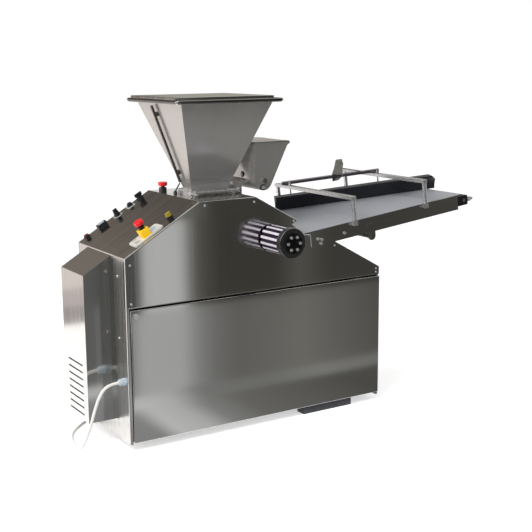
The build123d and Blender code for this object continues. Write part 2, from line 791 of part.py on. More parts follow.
big = pitch_radius(DRUM_TEETH)
small = pitch_radius(MOTOR_TEETH)
lean = acos((big - small) / (DRUM_Z - MOTOR_Z))
with BuildPart() as drive_chain:
    with BuildSketch(side(SPROCKET_Y + 1)):
        for grow, mode in ((CHAIN_T / 2, Mode.ADD), (-CHAIN_T / 2, Mode.SUBTRACT)):
            with BuildLine():
                top_r = big + grow
                low_r = small + grow
                right = (DRUM_X + top_r * sin(lean), DRUM_Z - top_r * cos(lean))
                left = (DRUM_X - top_r * sin(lean), DRUM_Z - top_r * cos(lean))
                low_right = (DRUM_X + low_r * sin(lean), MOTOR_Z - low_r * cos(lean))
                low_left = (DRUM_X - low_r * sin(lean), MOTOR_Z - low_r * cos(lean))
                ThreePointArc(right, (DRUM_X, DRUM_Z + top_r), left)
                Line(left, low_left)
                ThreePointArc(low_left, (DRUM_X, MOTOR_Z - low_r), low_right)
                Line(low_right, right)
            make_face(mode=mode)
    extrude(amount=-(SPROCKET_T - 2))
save(drive_chain, "drive_chain")

gearbox_far = SPROCKET_Y - 14
gearbox_near = gearbox_far - 80
motor_foot = ring_top + 8
with BuildPart() as gear_motor:
    with BuildSketch(side(gearbox_far)):
        with Locations((DRUM_X, (motor_foot + MOTOR_Z + 70) / 2)):
            RectangleRounded(150, MOTOR_Z + 70 - motor_foot, 12)
    extrude(amount=gearbox_far - gearbox_near)
    with BuildSketch(side(gearbox_near)):
        with Locations((DRUM_X, MOTOR_Z)):
            Circle(MOTOR_R - 6)
            with PolarLocations(0, 18):
                Rectangle(2 * MOTOR_R, 5)
    extrude(amount=MOTOR_LENGTH - 45)
    with BuildSketch(side(gearbox_near - MOTOR_LENGTH + 45)):
        with Locations((DRUM_X, MOTOR_Z)):
            Circle(MOTOR_R)
    extrude(amount=45)
    with BuildSketch(Plane.XY.offset(ring_top)):
        with Locations((X0 + DRUM_X, Y0 + gearbox_near + 16)):
            Rectangle(220, 180)
    extrude(amount=8)
save(gear_motor, "gear_motor")

# Portion handwheel: fluted barrel, bolted end flange and spindle in a bush
with BuildPart() as spindle_bush:
    with BuildSketch(side(0)):
        with Locations((DRUM_X, DRUM_Z)):
            Circle(BUSH_FLANGE_R)
    extrude(amount=WHEEL_START - 2)
    with BuildSketch(side(0)):
        with Locations((DRUM_X, DRUM_Z)):
            Circle(BUSH_R)
    extrude(amount=-45)
    with BuildSketch(side(45)):
        with Locations((DRUM_X, DRUM_Z)):
            Circle(SPINDLE_R + RUN_FIT)
    extrude(amount=45 + WHEEL_START, mode=Mode.SUBTRACT)
save(spindle_bush, "spindle_bush")

with BuildPart() as portion_handwheel:
    with BuildSketch(side(-WHEEL_START)):
        with Locations((DRUM_X, DRUM_Z)):
            Circle(WHEEL_R)
            with PolarLocations(WHEEL_R, WHEEL_FLUTES):
                Circle(FLUTE_R, mode=Mode.SUBTRACT)
    extrude(amount=WHEEL_BARREL)
    with BuildSketch(side(-WHEEL_START - WHEEL_BARREL)):
        with Locations((DRUM_X, DRUM_Z)):
            Circle(WHEEL_FLANGE_R)
    extrude(amount=WHEEL_FLANGE)
    rims = portion_handwheel.edges().filter_by(GeomType.CIRCLE).filter_by(
        lambda e: abs(e.radius - WHEEL_FLANGE_R) < 0.01)
    chamfer(rims, 2)
    with BuildSketch(side(-WHEEL_START)):
        with Locations((DRUM_X, DRUM_Z)):
            Circle(SPINDLE_R)
    extrude(amount=-(WHEEL_START + 52))
save(portion_handwheel, "portion_handwheel")

cap_y = -WHEEL_START - WHEEL_BARREL - WHEEL_FLANGE
with BuildPart() as handwheel_cap:
    with BuildSketch(side(cap_y)):
        with Locations((DRUM_X, DRUM_Z)):
            Circle(WHEEL_CAP_R)
    extrude(amount=WHEEL_CAP)
    with BuildSketch(side(cap_y - WHEEL_CAP)):
        with Locations((DRUM_X, DRUM_Z)):
            Circle(9)
            with PolarLocations(WHEEL_CAP_R - 12, 6):
                RegularPolygon(6.5, 6)
    extrude(amount=WHEEL_BOLT)
save(handwheel_cap, "handwheel_cap")

# Hopper seat on the top plate, with the far hinge lugs
hinge_y = BODY_WIDTH / 2 + FLANGE_Y / 2 + HINGE_DROP
flange_low = TOP_HEIGHT + FLANGE_T + MOVE_GAP
hinge_z = flange_low + FLANGE_T / 2
hinge_plane = Plane(origin=(X0 + HOPPER_X, Y0 + hinge_y, hinge_z), x_dir=(0, 1, 0), z_dir=(1, 0, 0))
clamp_y = BODY_WIDTH / 2 - FLANGE_Y / 2 - CLAMP_OUT
clamp_plane = Plane(origin=(X0 + HOPPER_X, Y0 + clamp_y, hinge_z), x_dir=(0, 1, 0), z_dir=(1, 0, 0))
clamp_lug = FLANGE_X / 2 - 12
with BuildPart() as hopper_seat:
    with BuildSketch(Plane.XY.offset(TOP_HEIGHT)):
        with Locations((X0 + HOPPER_X, Y_MID)):
            RectangleRounded(FLANGE_X, FLANGE_Y, EDGE_R)
            Rectangle(THROAT_X, THROAT_Y, mode=Mode.SUBTRACT)
    extrude(amount=FLANGE_T)
    for x in (-clamp_lug, clamp_lug):
        with BuildSketch(clamp_plane.offset(x - 6)):
            Circle(CLAMP_R + 4)
            with Locations((0, -(hinge_z - TOP_HEIGHT) / 2)):
                Rectangle(2 * CLAMP_R + 8, hinge_z - TOP_HEIGHT)
            with Locations((CLAMP_OUT / 2, TOP_HEIGHT + FLANGE_T / 2 - hinge_z)):
                Rectangle(CLAMP_OUT + 4, FLANGE_T)
            Circle(CLAMP_R + RUN_FIT, mode=Mode.SUBTRACT)
        extrude(amount=12)
    for x in (-HINGE_SPREAD / 2, HINGE_SPREAD / 2):
        with BuildSketch(hinge_plane.offset(x - 8)):
            Circle(HINGE_BOSS_R)
            with Locations((0, -(hinge_z - TOP_HEIGHT) / 2)):
                Rectangle(2 * HINGE_BOSS_R, hinge_z - TOP_HEIGHT)
        extrude(amount=16)
    with BuildSketch(hinge_plane.offset(-HINGE_SPREAD / 2 - 30)):
        Circle(HINGE_PIN_R)
    extrude(amount=HINGE_SPREAD + 60)
save(hopper_seat, "hopper_seat")

collar_top = rim_z + COLLAR
lid_x = RIM_X + 2 * (LID_GAP + SHEET) + LID_OVER
lid_y = RIM_Y + 2 * (LID_GAP + SHEET)
lid_low = collar_top + MOVE_GAP + SHEET - LID_SKIRT
lid_hinge_y = BODY_WIDTH / 2 + lid_y / 2 + 6
lid_hinge_z = collar_top - 6
lid_plane = Plane(
    origin=(X0 + HOPPER_X, Y0 + lid_hinge_y, lid_hinge_z),
    x_dir=(0, 1, 0),
    z_dir=(1, 0, 0),
)

# Hopper: flange, neck, four tapering walls, ledge and collar in folded sheet
with BuildPart() as hopper:
    with BuildSketch(Plane.XY.offset(flange_low)):
        with Locations((X0 + HOPPER_X, Y_MID)):
            RectangleRounded(FLANGE_X, FLANGE_Y, EDGE_R)
    extrude(amount=FLANGE_T)
    with BuildSketch(Plane.XY.offset(flange_low + FLANGE_T)):
        with Locations((X0 + HOPPER_X, Y_MID)):
            Rectangle(NECK_X, NECK_Y)
    extrude(amount=neck_top - flange_low - FLANGE_T)
    with BuildSketch(Plane.XY.offset(neck_top)):
        with Locations((X0 + HOPPER_X, Y_MID)):
            Rectangle(NECK_X, NECK_Y)
    with BuildSketch(Plane.XY.offset(rim_z)):
        with Locations((X0 + HOPPER_X, Y_MID)):
            Rectangle(RIM_X, RIM_Y)
    loft()
    with BuildSketch(Plane.XY.offset(rim_z)):
        with Locations((X0 + HOPPER_X, Y_MID)):
            Rectangle(RIM_X, RIM_Y)
    extrude(amount=COLLAR)
    with BuildSketch(Plane.XY.offset(rim_z)):
        with Locations((X0 + HOPPER_X, Y_MID)):
            RectangleRounded(RIM_X + 2 * RIM_LEDGE, RIM_Y + 2 * RIM_LEDGE, 2 * ROD_R)
    extrude(amount=-SHEET)
    wall = HOPPER_SHEET
    with BuildSketch(Plane.XY.offset(flange_low)):
        with Locations((X0 + HOPPER_X, Y_MID)):
            Rectangle(NECK_X - 2 * wall, NECK_Y - 2 * wall)
    extrude(amount=neck_top - flange_low, mode=Mode.SUBTRACT)
    with BuildSketch(Plane.XY.offset(neck_top)):
        with Locations((X0 + HOPPER_X, Y_MID)):
            Rectangle(NECK_X - 2 * wall, NECK_Y - 2 * wall)
    with BuildSketch(Plane.XY.offset(rim_z)):
        with Locations((X0 + HOPPER_X, Y_MID)):
            Rectangle(RIM_X - 2 * wall, RIM_Y - 2 * wall)
    loft(mode=Mode.SUBTRACT)
    with BuildSketch(Plane.XY.offset(rim_z)):
        with Locations((X0 + HOPPER_X, Y_MID)):
            Rectangle(RIM_X - 2 * wall, RIM_Y - 2 * wall)
    extrude(amount=COLLAR, mode=Mode.SUBTRACT)
    for x in (-HINGE_SPREAD / 2 - 17, HINGE_SPREAD / 2 + 17):
        with BuildSketch(hinge_plane.offset(x - 8)):
            Circle(FLANGE_T)
            with Locations((-HINGE_DROP, 0)):
                Rectangle(2 * HINGE_DROP, FLANGE_T)
            Circle(HINGE_PIN_R + RUN_FIT, mode=Mode.SUBTRACT)
        extrude(amount=16)
    for x in LID_KNUCKLES:
        with BuildSketch(lid_plane.offset(x - 34)):
            Circle(3)
        extrude(amount=68)
        for end in (x - 34, x + 16):
            with BuildSketch(lid_plane.offset(end)):
                Circle(6)
                with Locations((0, -(lid_hinge_z - rim_z) / 2)):
                    Rectangle(6, lid_hinge_z - rim_z)
            extrude(amount=18)
save(hopper, "hopper")

# Round rod laid along the outer edge of the hopper's ledge
rod_z = rim_z + ROD_R
half_x = RIM_X / 2 + RIM_LEDGE
half_y = RIM_Y / 2 + RIM_LEDGE
with BuildPart() as rim_rod:
    with BuildLine():
        FilletPolyline(
            (X0 + HOPPER_X + half_x, Y_MID - half_y, rod_z),
            (X0 + HOPPER_X + half_x, Y_MID + half_y, rod_z),
            (X0 + HOPPER_X - half_x, Y_MID + half_y, rod_z),
            (X0 + HOPPER_X - half_x, Y_MID - half_y, rod_z),
            radius=2 * ROD_R,
            close=True,
        )
    with BuildSketch(Plane(origin=(X0 + HOPPER_X + half_x, Y_MID, rod_z), z_dir=(0, 1, 0))):
        Circle(ROD_R)
    sweep()
save(rim_rod, "rim_rod")

# Lid with a folded skirt, hinged at the far edge and reaching over the switch
with BuildPart() as hopper_lid:
    with BuildSketch(Plane.XY.offset(lid_low)):
        with Locations((X0 + HOPPER_X - LID_OVER / 2, Y_MID)):
            Rectangle(lid_x, lid_y)
    extrude(amount=LID_SKIRT)
    fillet(hopper_lid.faces().sort_by(Axis.Z)[-1].edges(), SHEET)
    with BuildSketch(Plane.XY.offset(lid_low)):
        with Locations((X0 + HOPPER_X - LID_OVER / 2, Y_MID)):
            Rectangle(lid_x - 2 * SHEET, lid_y - 2 * SHEET)
    extrude(amount=LID_SKIRT - SHEET, mode=Mode.SUBTRACT)
    for x in LID_KNUCKLES:
        with BuildSketch(lid_plane.offset(x - 15)):
            Circle(6)
            with Locations((-4, 1)):
                Rectangle(4, 6)
            Circle(3 + RUN_FIT, mode=Mode.SUBTRACT)
        extrude(amount=30)
save(hopper_lid, "hopper_lid")

# Clamp rod across the near edge of the hopper's flange, with a lever and a star knob
rod_half = FLANGE_X / 2 + 4
with BuildPart() as clamp_rod:
    with BuildSketch(clamp_plane.offset(-rod_half)):
        Circle(CLAMP_R)
    extrude(amount=2 * rod_half)
    with BuildSketch(clamp_plane.offset(rod_half)):
        Circle(CLAMP_KNOB_R - 3)
        with PolarLocations(CLAMP_KNOB_R - 4, 5):
            Circle(4)
    extrude(amount=12)
    with BuildSketch(clamp_plane.offset(-rod_half - 10)):
        Circle(CLAMP_R + 3)
    extrude(amount=10)
    lever_root = clamp_plane.origin - Vector(rod_half + 5, 0, 0)
    with BuildSketch(Plane(origin=lever_root, x_dir=(1, 0, 0), z_dir=(0, -1, 0))):
        Circle(CLAMP_R - 1.5)
    extrude(amount=CLAMP_LEVER)
save(clamp_rod, "clamp_rod")

# Conduit down the hopper's control side, with the lid switch at its top
wall_lean = atan2((RIM_X - NECK_X) / 2, rim_z - neck_top)


def wall_point(z, off):
    """Distance from the control end of a point standing off the hopper wall."""
    lean = (RIM_X - NECK_X) / 2 * (z - neck_top) / (rim_z - neck_top)
    return HOPPER_X - NECK_X / 2 - lean - off / cos(wall_lean)


conduit_top = Vector(X0 + wall_point(rim_z - 14, CONDUIT_OFF), Y0 + CONDUIT_Y_TOP, rim_z - 14)
conduit_low = Vector(X0 + wall_point(neck_top + 28, CONDUIT_OFF), Y0 + CONDUIT_Y_LOW, neck_top + 28)
with BuildPart() as lid_switch:
    with BuildSketch(Plane(origin=conduit_low, z_dir=conduit_top - conduit_low)):
        Circle(CONDUIT_R)
    extrude(amount=(conduit_top - conduit_low).length)
    for share in (0.12, 0.88):
        spot = conduit_low + (conduit_top - conduit_low) * share
        normal = Vector(cos(wall_lean), 0, sin(wall_lean))
        with BuildSketch(Plane(origin=spot, x_dir=(0, 1, 0), z_dir=normal)):
            Rectangle(26, 14)
        extrude(amount=CONDUIT_OFF)
    switch_x = HOPPER_X - RIM_X / 2 - LID_GAP - SHEET - 1
    with BuildSketch(Plane.XY.offset(rim_z)):
        with Locations((X0 + switch_x - 8, Y0 + 92)):
            RectangleRounded(15, 44, 3)
    extrude(amount=COLLAR - 2)
    fillet(lid_switch.faces().sort_by(Axis.Z)[-1].edges(), 2)
save(lid_switch, "lid_switch")

# Short lead from the top plate up to the conduit
lead_foot = Vector(X0 + 374, Y0 + 288, TOP_HEIGHT)
lead_top = conduit_low - (conduit_top - conduit_low).normalized()
with BuildPart() as switch_lead:
    lead_root = lead_foot + Vector(0, 0, 10)
    with BuildSketch(Plane(origin=lead_root, z_dir=lead_top - lead_root)):
        Circle(3)
    extrude(amount=(lead_top - lead_root).length - 6)
    with BuildSketch(Plane(origin=lead_foot, z_dir=(0, 0, 1))):
        Circle(9)
    extrude(amount=12, taper=12)
save(switch_lead, "switch_lead")

# Flour duster: trough with a rounded floor, end plates, roller, lid and bracket
dust_cx = DUST_X + DUST_R
dust_right = DUST_X + DUST_WIDTH
reach_x = dust_right - dust_cx
reach_z = dust_top - dust_arc_z
dust_turn = atan2(reach_z, reach_x) - acos(DUST_R / (reach_x**2 + reach_z**2) ** 0.5)
dust_tangent = (dust_cx + DUST_R * cos(dust_turn), dust_arc_z + DUST_R * sin(dust_turn))
dust_far = DUST_NEAR + DUST_LENGTH
dust_hinge_x = dust_right + 5
dust_hinge_z = dust_top - DUST_HINGE_DROP
dust_wall = (dust_right - dust_tangent[0]) / (dust_top - dust_tangent[1])


def dust_profile():
    """Outline of the trough seen from its end."""
    with BuildLine() as outline:
        Line((DUST_X, dust_top), (DUST_X, dust_arc_z))
        ThreePointArc((DUST_X, dust_arc_z), (dust_cx, dust_arc_z - DUST_R), dust_tangent)
        Line(dust_tangent, (dust_right, dust_top))
        Line((dust_right, dust_top), (DUST_X, dust_top))
    return outline.line


with BuildPart() as duster_trough:
    with BuildSketch(side(dust_far - DUST_END)):
        add(make_face(dust_profile().edges(), mode=Mode.PRIVATE))
    extrude(amount=DUST_LENGTH - 2 * DUST_END)
    with BuildSketch(side(dust_far - DUST_END)):
        add(make_face(dust_profile().edges(), mode=Mode.PRIVATE))
        offset(amount=-DUST_SHEET, kind=Kind.INTERSECTION, mode=Mode.REPLACE)
    extrude(amount=DUST_LENGTH - 2 * DUST_END, mode=Mode.SUBTRACT)
    with BuildSketch(side(dust_far - DUST_END)):
        with Locations(((DUST_X + dust_right) / 2, dust_top)):
            Rectangle(2 * DUST_WIDTH, 2 * DUST_SHEET + 0.5)
    extrude(amount=DUST_LENGTH - 2 * DUST_END, mode=Mode.SUBTRACT)
    with BuildSketch(Plane.XY.offset(dust_arc_z - DUST_R - 5)):
        with Locations((X0 + dust_cx, Y0 + (DUST_NEAR + dust_far) / 2)):
            Rectangle(DUST_SLOT, DUST_LENGTH - 40)
    extrude(amount=20, mode=Mode.SUBTRACT)
    for y in (DUST_NEAR + DUST_END, dust_far):
        with BuildSketch(side(y)):
            add(make_face(dust_profile().edges(), mode=Mode.PRIVATE))
            with Locations((dust_cx, dust_arc_z)):
                Circle(DUST_SHAFT_R + RUN_FIT, mode=Mode.SUBTRACT)
        extrude(amount=DUST_END)
    for y in (DUST_NEAR + 50, dust_far - 20):
        with BuildSketch(side(y + 14)):
            with Locations((dust_hinge_x, dust_hinge_z)):
                Circle(2.5)
        extrude(amount=58)
        for end in (y + 14, y - 31):
            with BuildSketch(side(end)):
                with BuildLine():
                    Polyline(
                        (dust_right - 24 * dust_wall - 1, dust_top - 24),
                        (dust_right - 3 * dust_wall - 1, dust_top - 3),
                        (dust_hinge_x - 4, dust_hinge_z),
                        (dust_hinge_x + 4, dust_hinge_z),
                        (dust_hinge_x + 4, dust_top - 8),
                        close=True,
                    )
                make_face()
                with Locations((dust_hinge_x, dust_hinge_z)):
                    Circle(4)
            extrude(amount=13)
    arm_far = BODY_WIDTH / 2 + DUST_ARM_WIDTH / 2
    arm_x = TOP_END + 16
    with BuildSketch(side(arm_far)):
        with BuildLine():
            Polyline(
                (arm_x, slope_z(arm_x)),
                (arm_x + 34, slope_z(arm_x + 34)),
                (arm_x + 34, slope_z(arm_x + 34) + DUST_BRACKET),
                (arm_x + DUST_BRACKET, slope_z(arm_x + DUST_BRACKET) + DUST_BRACKET),
                (arm_x + DUST_BRACKET, dust_arm_z - DUST_BRACKET),
                (DUST_X + 1, dust_arm_z + 16 - DUST_BRACKET),
                (DUST_X + 1, dust_arm_z + 90),
                (DUST_X - DUST_BRACKET, dust_arm_z + 90),
                (DUST_X - DUST_BRACKET, dust_arm_z + 16),
                (arm_x, dust_arm_z),
                close=True,
            )
        make_face()
    extrude(amount=DUST_ARM_WIDTH)
save(duster_trough, "duster_trough")

with BuildPart() as duster_roller:
    with BuildSketch(side(dust_far - DUST_END - 3)):
        with Locations((dust_cx, dust_arc_z)):
            Circle(DUST_ROLL_R)
            with PolarLocations(DUST_ROLL_R, 16):
                Circle(3.5, mode=Mode.SUBTRACT)
    extrude(amount=DUST_LENGTH - 2 * DUST_END - 6)
    with BuildSketch(side(dust_far + 8)):
        with Locations((dust_cx, dust_arc_z)):
            Circle(DUST_SHAFT_R)
    extrude(amount=DUST_LENGTH + 16)
    with BuildSketch(side(DUST_NEAR - 3)):
        with Locations((dust_cx, dust_arc_z)):
            RegularPolygon(11, 6)
    extrude(amount=8)
save(duster_roller, "duster_roller")

with BuildPart() as duster_lid:
    with BuildSketch(Plane.XY.offset(dust_top + MOVE_GAP)):
        with Locations((X0 + DUST_X - 4, Y0 + DUST_NEAR - 3)):
            Rectangle(DUST_WIDTH + 2, DUST_LENGTH + 6, align=(Align.MIN, Align.MIN))
    extrude(amount=SHEET)
    for y in (DUST_NEAR + 50, dust_far - 20):
        with BuildSketch(side(y)):
            with Locations((dust_hinge_x, dust_hinge_z)):
                Circle(4.5)
            with Locations((dust_hinge_x - 6, dust_top + MOVE_GAP + SHEET / 2)):
                Rectangle(8, SHEET)
            with Locations((dust_hinge_x, dust_hinge_z)):
                Circle(2.5 + RUN_FIT, mode=Mode.SUBTRACT)
        extrude(amount=30)
save(duster_lid, "duster_lid")

# Conveyor side plates, bed with stretchers, belt and rollers
plate_top = PLATE_LIP
plate_far = CONV_INNER
far_start = ROLLER_FIRST - 34
bed_start = ROLLER_FIRST + 2 * ROLLER_R
bed_end = ROLLER_LAST - 2 * ROLLER_R
stretchers = (PORTAL_1 - 60, PORTAL_2 - 150, PORTAL_2 + 110)
belt_far = CONV_INNER - BELT_NEAR
with BuildPart() as conveyor_frame:
    for y, start in ((0, PLATE_START), (plate_far + PLATE_T, far_start)):
        with BuildSketch(belt_side(y)):
            with BuildLine():
                Polyline(
                    (start, plate_top),
                    (PLATE_END, plate_top),
                    (PLATE_END, plate_top - PLATE_DEPTH),
                    (start, plate_top - PLATE_DEPTH),
                    close=True,
                )
            make_face()
            if start == far_start:
                with Locations((ROLLER_FIRST, roller_n)):
                    Circle(ROLLER_SHAFT_R + RUN_FIT, mode=Mode.SUBTRACT)
        extrude(amount=PLATE_T)
    with BuildSketch(belt_side(belt_far)):
        with Locations((bed_start, -BELT_T - MOVE_GAP)):
            Rectangle(bed_end - bed_start, 3, align=(Align.MIN, Align.MAX))
    extrude(amount=belt_far - BELT_NEAR)
    for s in stretchers:
        with BuildSketch(belt_side(CONV_INNER)):
            with Locations((s, -BELT_T - MOVE_GAP - 3)):
                Rectangle(30, 20, align=(Align.CENTER, Align.MAX))
        extrude(amount=CONV_INNER)
save(conveyor_frame, "conveyor_frame")

with BuildPart() as conveyor_belt:
    with BuildSketch(belt_side(belt_far)):
        with Locations(((ROLLER_FIRST + ROLLER_LAST) / 2, roller_n)):
            SlotCenterToCenter(ROLLER_LAST - ROLLER_FIRST, 2 * (loop_r + BELT_T))
            SlotCenterToCenter(ROLLER_LAST - ROLLER_FIRST, 2 * loop_r, mode=Mode.SUBTRACT)
    extrude(amount=belt_far - BELT_NEAR)
save(conveyor_belt, "conveyor_belt")

for name, s, y1, y2 in (
    ("drive_roller", ROLLER_FIRST, SHEET + 1, CONV_INNER + PLATE_T),
    ("tail_roller", ROLLER_LAST, 2.0, CONV_INNER - 2),
):
    with BuildPart() as roller:
        with BuildSketch(belt_side(belt_far - 4)):
            with Locations((s, roller_n)):
                Circle(ROLLER_R)
        extrude(amount=belt_far - BELT_NEAR - 8)
        chamfer(roller.edges().filter_by(GeomType.CIRCLE), 1.5)
        with BuildSketch(belt_side(y2)):
            with Locations((s, roller_n)):
                Circle(ROLLER_SHAFT_R)
        extrude(amount=y2 - y1)
    save(roller, name)

# Belt tensioners: bearing blocks on the plates' inner faces, with their screws
block_start = PLATE_END - 30
block_end = PLATE_END + TENSION_LENGTH
with BuildPart() as tension_blocks:
    for y in (16, CONV_INNER):
        with BuildSketch(belt_side(y)):
            with Locations(((block_start + block_end) / 2, roller_n)):
                RectangleRounded(block_end - block_start, 46, 6)
            with Locations((ROLLER_LAST, roller_n)):
                Circle(ROLLER_SHAFT_R + RUN_FIT, mode=Mode.SUBTRACT)
        extrude(amount=16)
save(tension_blocks, "tension_blocks")

# Cross tube under the conveyor, held in two hanging brackets
tube_n = plate_top - PLATE_DEPTH - 16
with BuildPart() as conveyor_supports:
    for y, turn in ((-PLATE_T, 1), (CONV_INNER + PLATE_T, -1)):
        with BuildSketch(belt_side(y)):
            with Locations((CROSS_TUBE, tube_n)):
                Circle(CROSS_TUBE_R + 3)
            with Locations((CROSS_TUBE, tube_n + 28)):
                RectangleRounded(40, 56, 4)
        extrude(amount=5 * turn)
    with BuildSketch(belt_side(CONV_INNER + PLATE_T + 10)):
        with Locations((CROSS_TUBE, tube_n)):
            Circle(CROSS_TUBE_R - 3)
    extrude(amount=CONV_INNER + 2 * PLATE_T + 20)
    with BuildSketch(belt_side(CONV_INNER)):
        with Locations((along_belt(notch_end) + 40, roller_n - loop_r - BELT_T - 3)):
            Rectangle(50, 30, align=(Align.CENTER, Align.MAX))
    extrude(amount=CONV_INNER - BODY_WIDTH)
save(conveyor_supports, "conveyor_supports")

# Two portals over the belt
bar_low = PORTAL_RISE - CROSSBAR_T
hang_clear = HANGER_R + RUN_FIT
bar_turn = radians(BAR_ANGLE)
bar_s = along_belt(BAR_MID_X)


def bar_y(s):
    """Distance across the belt of the line that the hanger screws stand on."""
    return BAR_MID_Y - HANGER_IN / cos(bar_turn) + (s - bar_s) * tan(bar_turn)


hanger_s = (PORTAL_1, PORTAL_2)
with BuildPart() as portal_frames:
    for s in (PORTAL_1, PORTAL_2):
        for y, turn in ((-PLATE_T, 1), (CONV_INNER + PLATE_T, -1)):
            with BuildSketch(belt_side(y)):
                with Locations((s, 0)):
                    RectangleRounded(22, 26, 3)
            extrude(amount=PORTAL_FOOT * turn)
            with BuildSketch(belt_top(10)):
                with Locations((s, y - turn * PORTAL_FOOT / 2)):
                    Circle(PORTAL_POST_R)
            extrude(amount=bar_low - 10)
        with BuildSketch(belt_top(bar_low)):
            with Locations((s, CONV_INNER / 2)):
                Rectangle(CROSSBAR_W, CONV_INNER + 2 * (PLATE_T + PORTAL_FOOT))
            with Locations((s, bar_y(s))):
                Circle(hang_clear, mode=Mode.SUBTRACT)
        extrude(amount=CROSSBAR_T)
save(portal_frames, "portal_frames")

# Tie rod over the portals, with an upright plate clamped on it and a thin link
tie_n = PORTAL_RISE + TIE_R
tie_plane = Plane(
    origin=belt_top(tie_n).from_local_coords(
        Vector(bar_s - TIE_OFF * sin(bar_turn), BAR_MID_Y + TIE_OFF * cos(bar_turn), 0)),
    x_dir=belt_top(0).z_dir,
    z_dir=belt_top(0).x_dir * cos(bar_turn) + belt_top(0).y_dir * sin(bar_turn),
)
tie_back = (bar_s - PORTAL_1) / cos(bar_turn) + 24
tie_front = (PORTAL_2 - bar_s) / cos(bar_turn) + 24
with BuildPart() as tie_rod:
    with BuildSketch(tie_plane.offset(-tie_back)):
        Circle(TIE_R)
    extrude(amount=tie_back + tie_front)
    along = tie_plane.z_dir
    across = along.cross(tie_plane.x_dir)
    lever_plane = Plane(
        origin=tie_plane.origin + along * LEVER_PLACE + across * (TIE_R - 3),
        x_dir=along,
        z_dir=across,
    )
    with BuildSketch(lever_plane):
        with BuildLine():
            Polyline(
                (-29, -22),
                (0, -20),
                (25, 0),
                (24, 30),
                (31, 55),
                (26, 80),
                (-4, 80),
                (-16, 42),
                (-29, 12),
                close=True,
            )
        make_face()
    extrude(amount=LEVER_T)
    with BuildSketch(lever_plane.offset(-LEVER_T)):
        with Locations((12, 66)):
            RegularPolygon(8, 6)
    extrude(amount=3 * LEVER_T)
    link_start = lever_plane.from_local_coords(Vector(20, 37, 0))
    link_end = lever_plane.from_local_coords(Vector(LINK_REACH, 4, 0))
    with BuildSketch(Plane(origin=link_start, z_dir=link_end - link_start)):
        Circle(LINK_R)
    extrude(amount=(link_end - link_start).length)
    with BuildSketch(tie_plane.offset(LEVER_PLACE - 7)):
        Circle(TIE_R + 5)
    extrude(amount=14)
save(tie_rod, "tie_rod")

# Rounding bar with a hollow leaning face, and the two screws that hang it
bar_plane = Plane(
    origin=belt_top(BAR_LIFT).from_local_coords(Vector(bar_s, BAR_MID_Y, 0)),
    x_dir=belt_top(0).y_dir * cos(bar_turn) - belt_top(0).x_dir * sin(bar_turn),
    z_dir=belt_top(0).x_dir * cos(bar_turn) + belt_top(0).y_dir * sin(bar_turn),
)
with BuildPart() as rounding_bar:
    with BuildSketch(bar_plane.offset(-BAR_LENGTH / 2)):
        with BuildLine():
            Line((BAR_BACK, 0), (BAR_BACK, BAR_HEIGHT))
            Line((BAR_BACK, BAR_HEIGHT), (-BAR_LIP, BAR_HEIGHT))
            Line((-BAR_LIP, BAR_HEIGHT), (-BAR_LIP, BAR_HEIGHT - 8))
            ThreePointArc((-BAR_LIP, BAR_HEIGHT - 8), (-BAR_LIP / 4, BAR_HEIGHT * 0.45), (0, 0))
            Line((0, 0), (BAR_BACK, 0))
        make_face()
    extrude(amount=BAR_LENGTH)
    ends = rounding_bar.faces().filter_by(bar_plane).sort_by(Axis.X)[-1]
    top_edge = ends.edges().sort_by(Axis.Z)[-1]
    chamfer(top_edge, 22)
save(rounding_bar, "rounding_bar")

bar_top = BAR_LIFT + BAR_HEIGHT
with BuildPart() as hanger_screws:
    for s in hanger_s:
        with BuildSketch(belt_top(bar_top)):
            with Locations((s, bar_y(s))):
                Circle(HANGER_R)
        extrude(amount=PORTAL_RISE + 16 - bar_top)
        with BuildSketch(belt_top(PORTAL_RISE + MOVE_GAP)):
            with Locations((s, bar_y(s))):
                RegularPolygon(8, 6)
        extrude(amount=6)
save(hanger_screws, "hanger_screws")

# Bolts through the conveyor plate and screws in the panels
screw_spots = (
    (22, TAIL_HEIGHT - 28),
    (22, DOOR_TOP + 26),
    (TOP_START + 24, TOP_HEIGHT - 18),
    (TOP_END - 10, TOP_HEIGHT - 20),
    (notch_tip - 22, slope_z(notch_tip - 22) - 14),
    (1000, slope_z(1000) - 20),
    (BODY_LENGTH - 20, HEAD_HEIGHT - 8),
    (BODY_LENGTH - 20, DOOR_TOP + 20),
)
with BuildPart() as screws_and_bolts:
    for y in (8, CONV_INNER - 8):
        end_plane = Plane(
            origin=belt_side(y).from_local_coords(Vector(block_end, roller_n, 0)),
            x_dir=(0, 1, 0),
            z_dir=(cos(rise), 0, sin(rise)),
        )
        with BuildSketch(end_plane):
            Circle(TENSION_BOLT_R)
        extrude(amount=TENSION_BOLT)
        with BuildSketch(end_plane.offset(3)):
            RegularPolygon(TENSION_NUT_R, 6)
        extrude(amount=TENSION_NUT)
    with BuildSketch(belt_side(-PLATE_T)):
        with Locations((72, -33), (91, -39), (85, -55), (215, -36)):
            RegularPolygon(6.5, 6)
    extrude(amount=6)
    with BuildSketch(side(0)):
        with Locations(*screw_spots):
            Circle(5)
    extrude(amount=3, taper=20)
    with BuildSketch(Plane(origin=(X0, Y0 + 75, 0), x_dir=(0, -1, 0), z_dir=(-1, 0, 0))):
        with Locations((0, TAIL_HEIGHT - 80), (0, DOOR_TOP - 123)):
            Circle(5)
    extrude(amount=3, taper=20)
save(screws_and_bolts, "screws_and_bolts")

# Controls on the slope: legend plate, stop switch in its box, knobs and buttons
with BuildPart() as legend_plate:
    with BuildSketch(control_face(0)):
        with Locations((LEGEND_U, LEGEND_Y)):
            RectangleRounded(LEGEND_LENGTH, LEGEND_WIDTH, 14)
    extrude(amount=LEGEND_T)
save(legend_plate, "legend_plate")

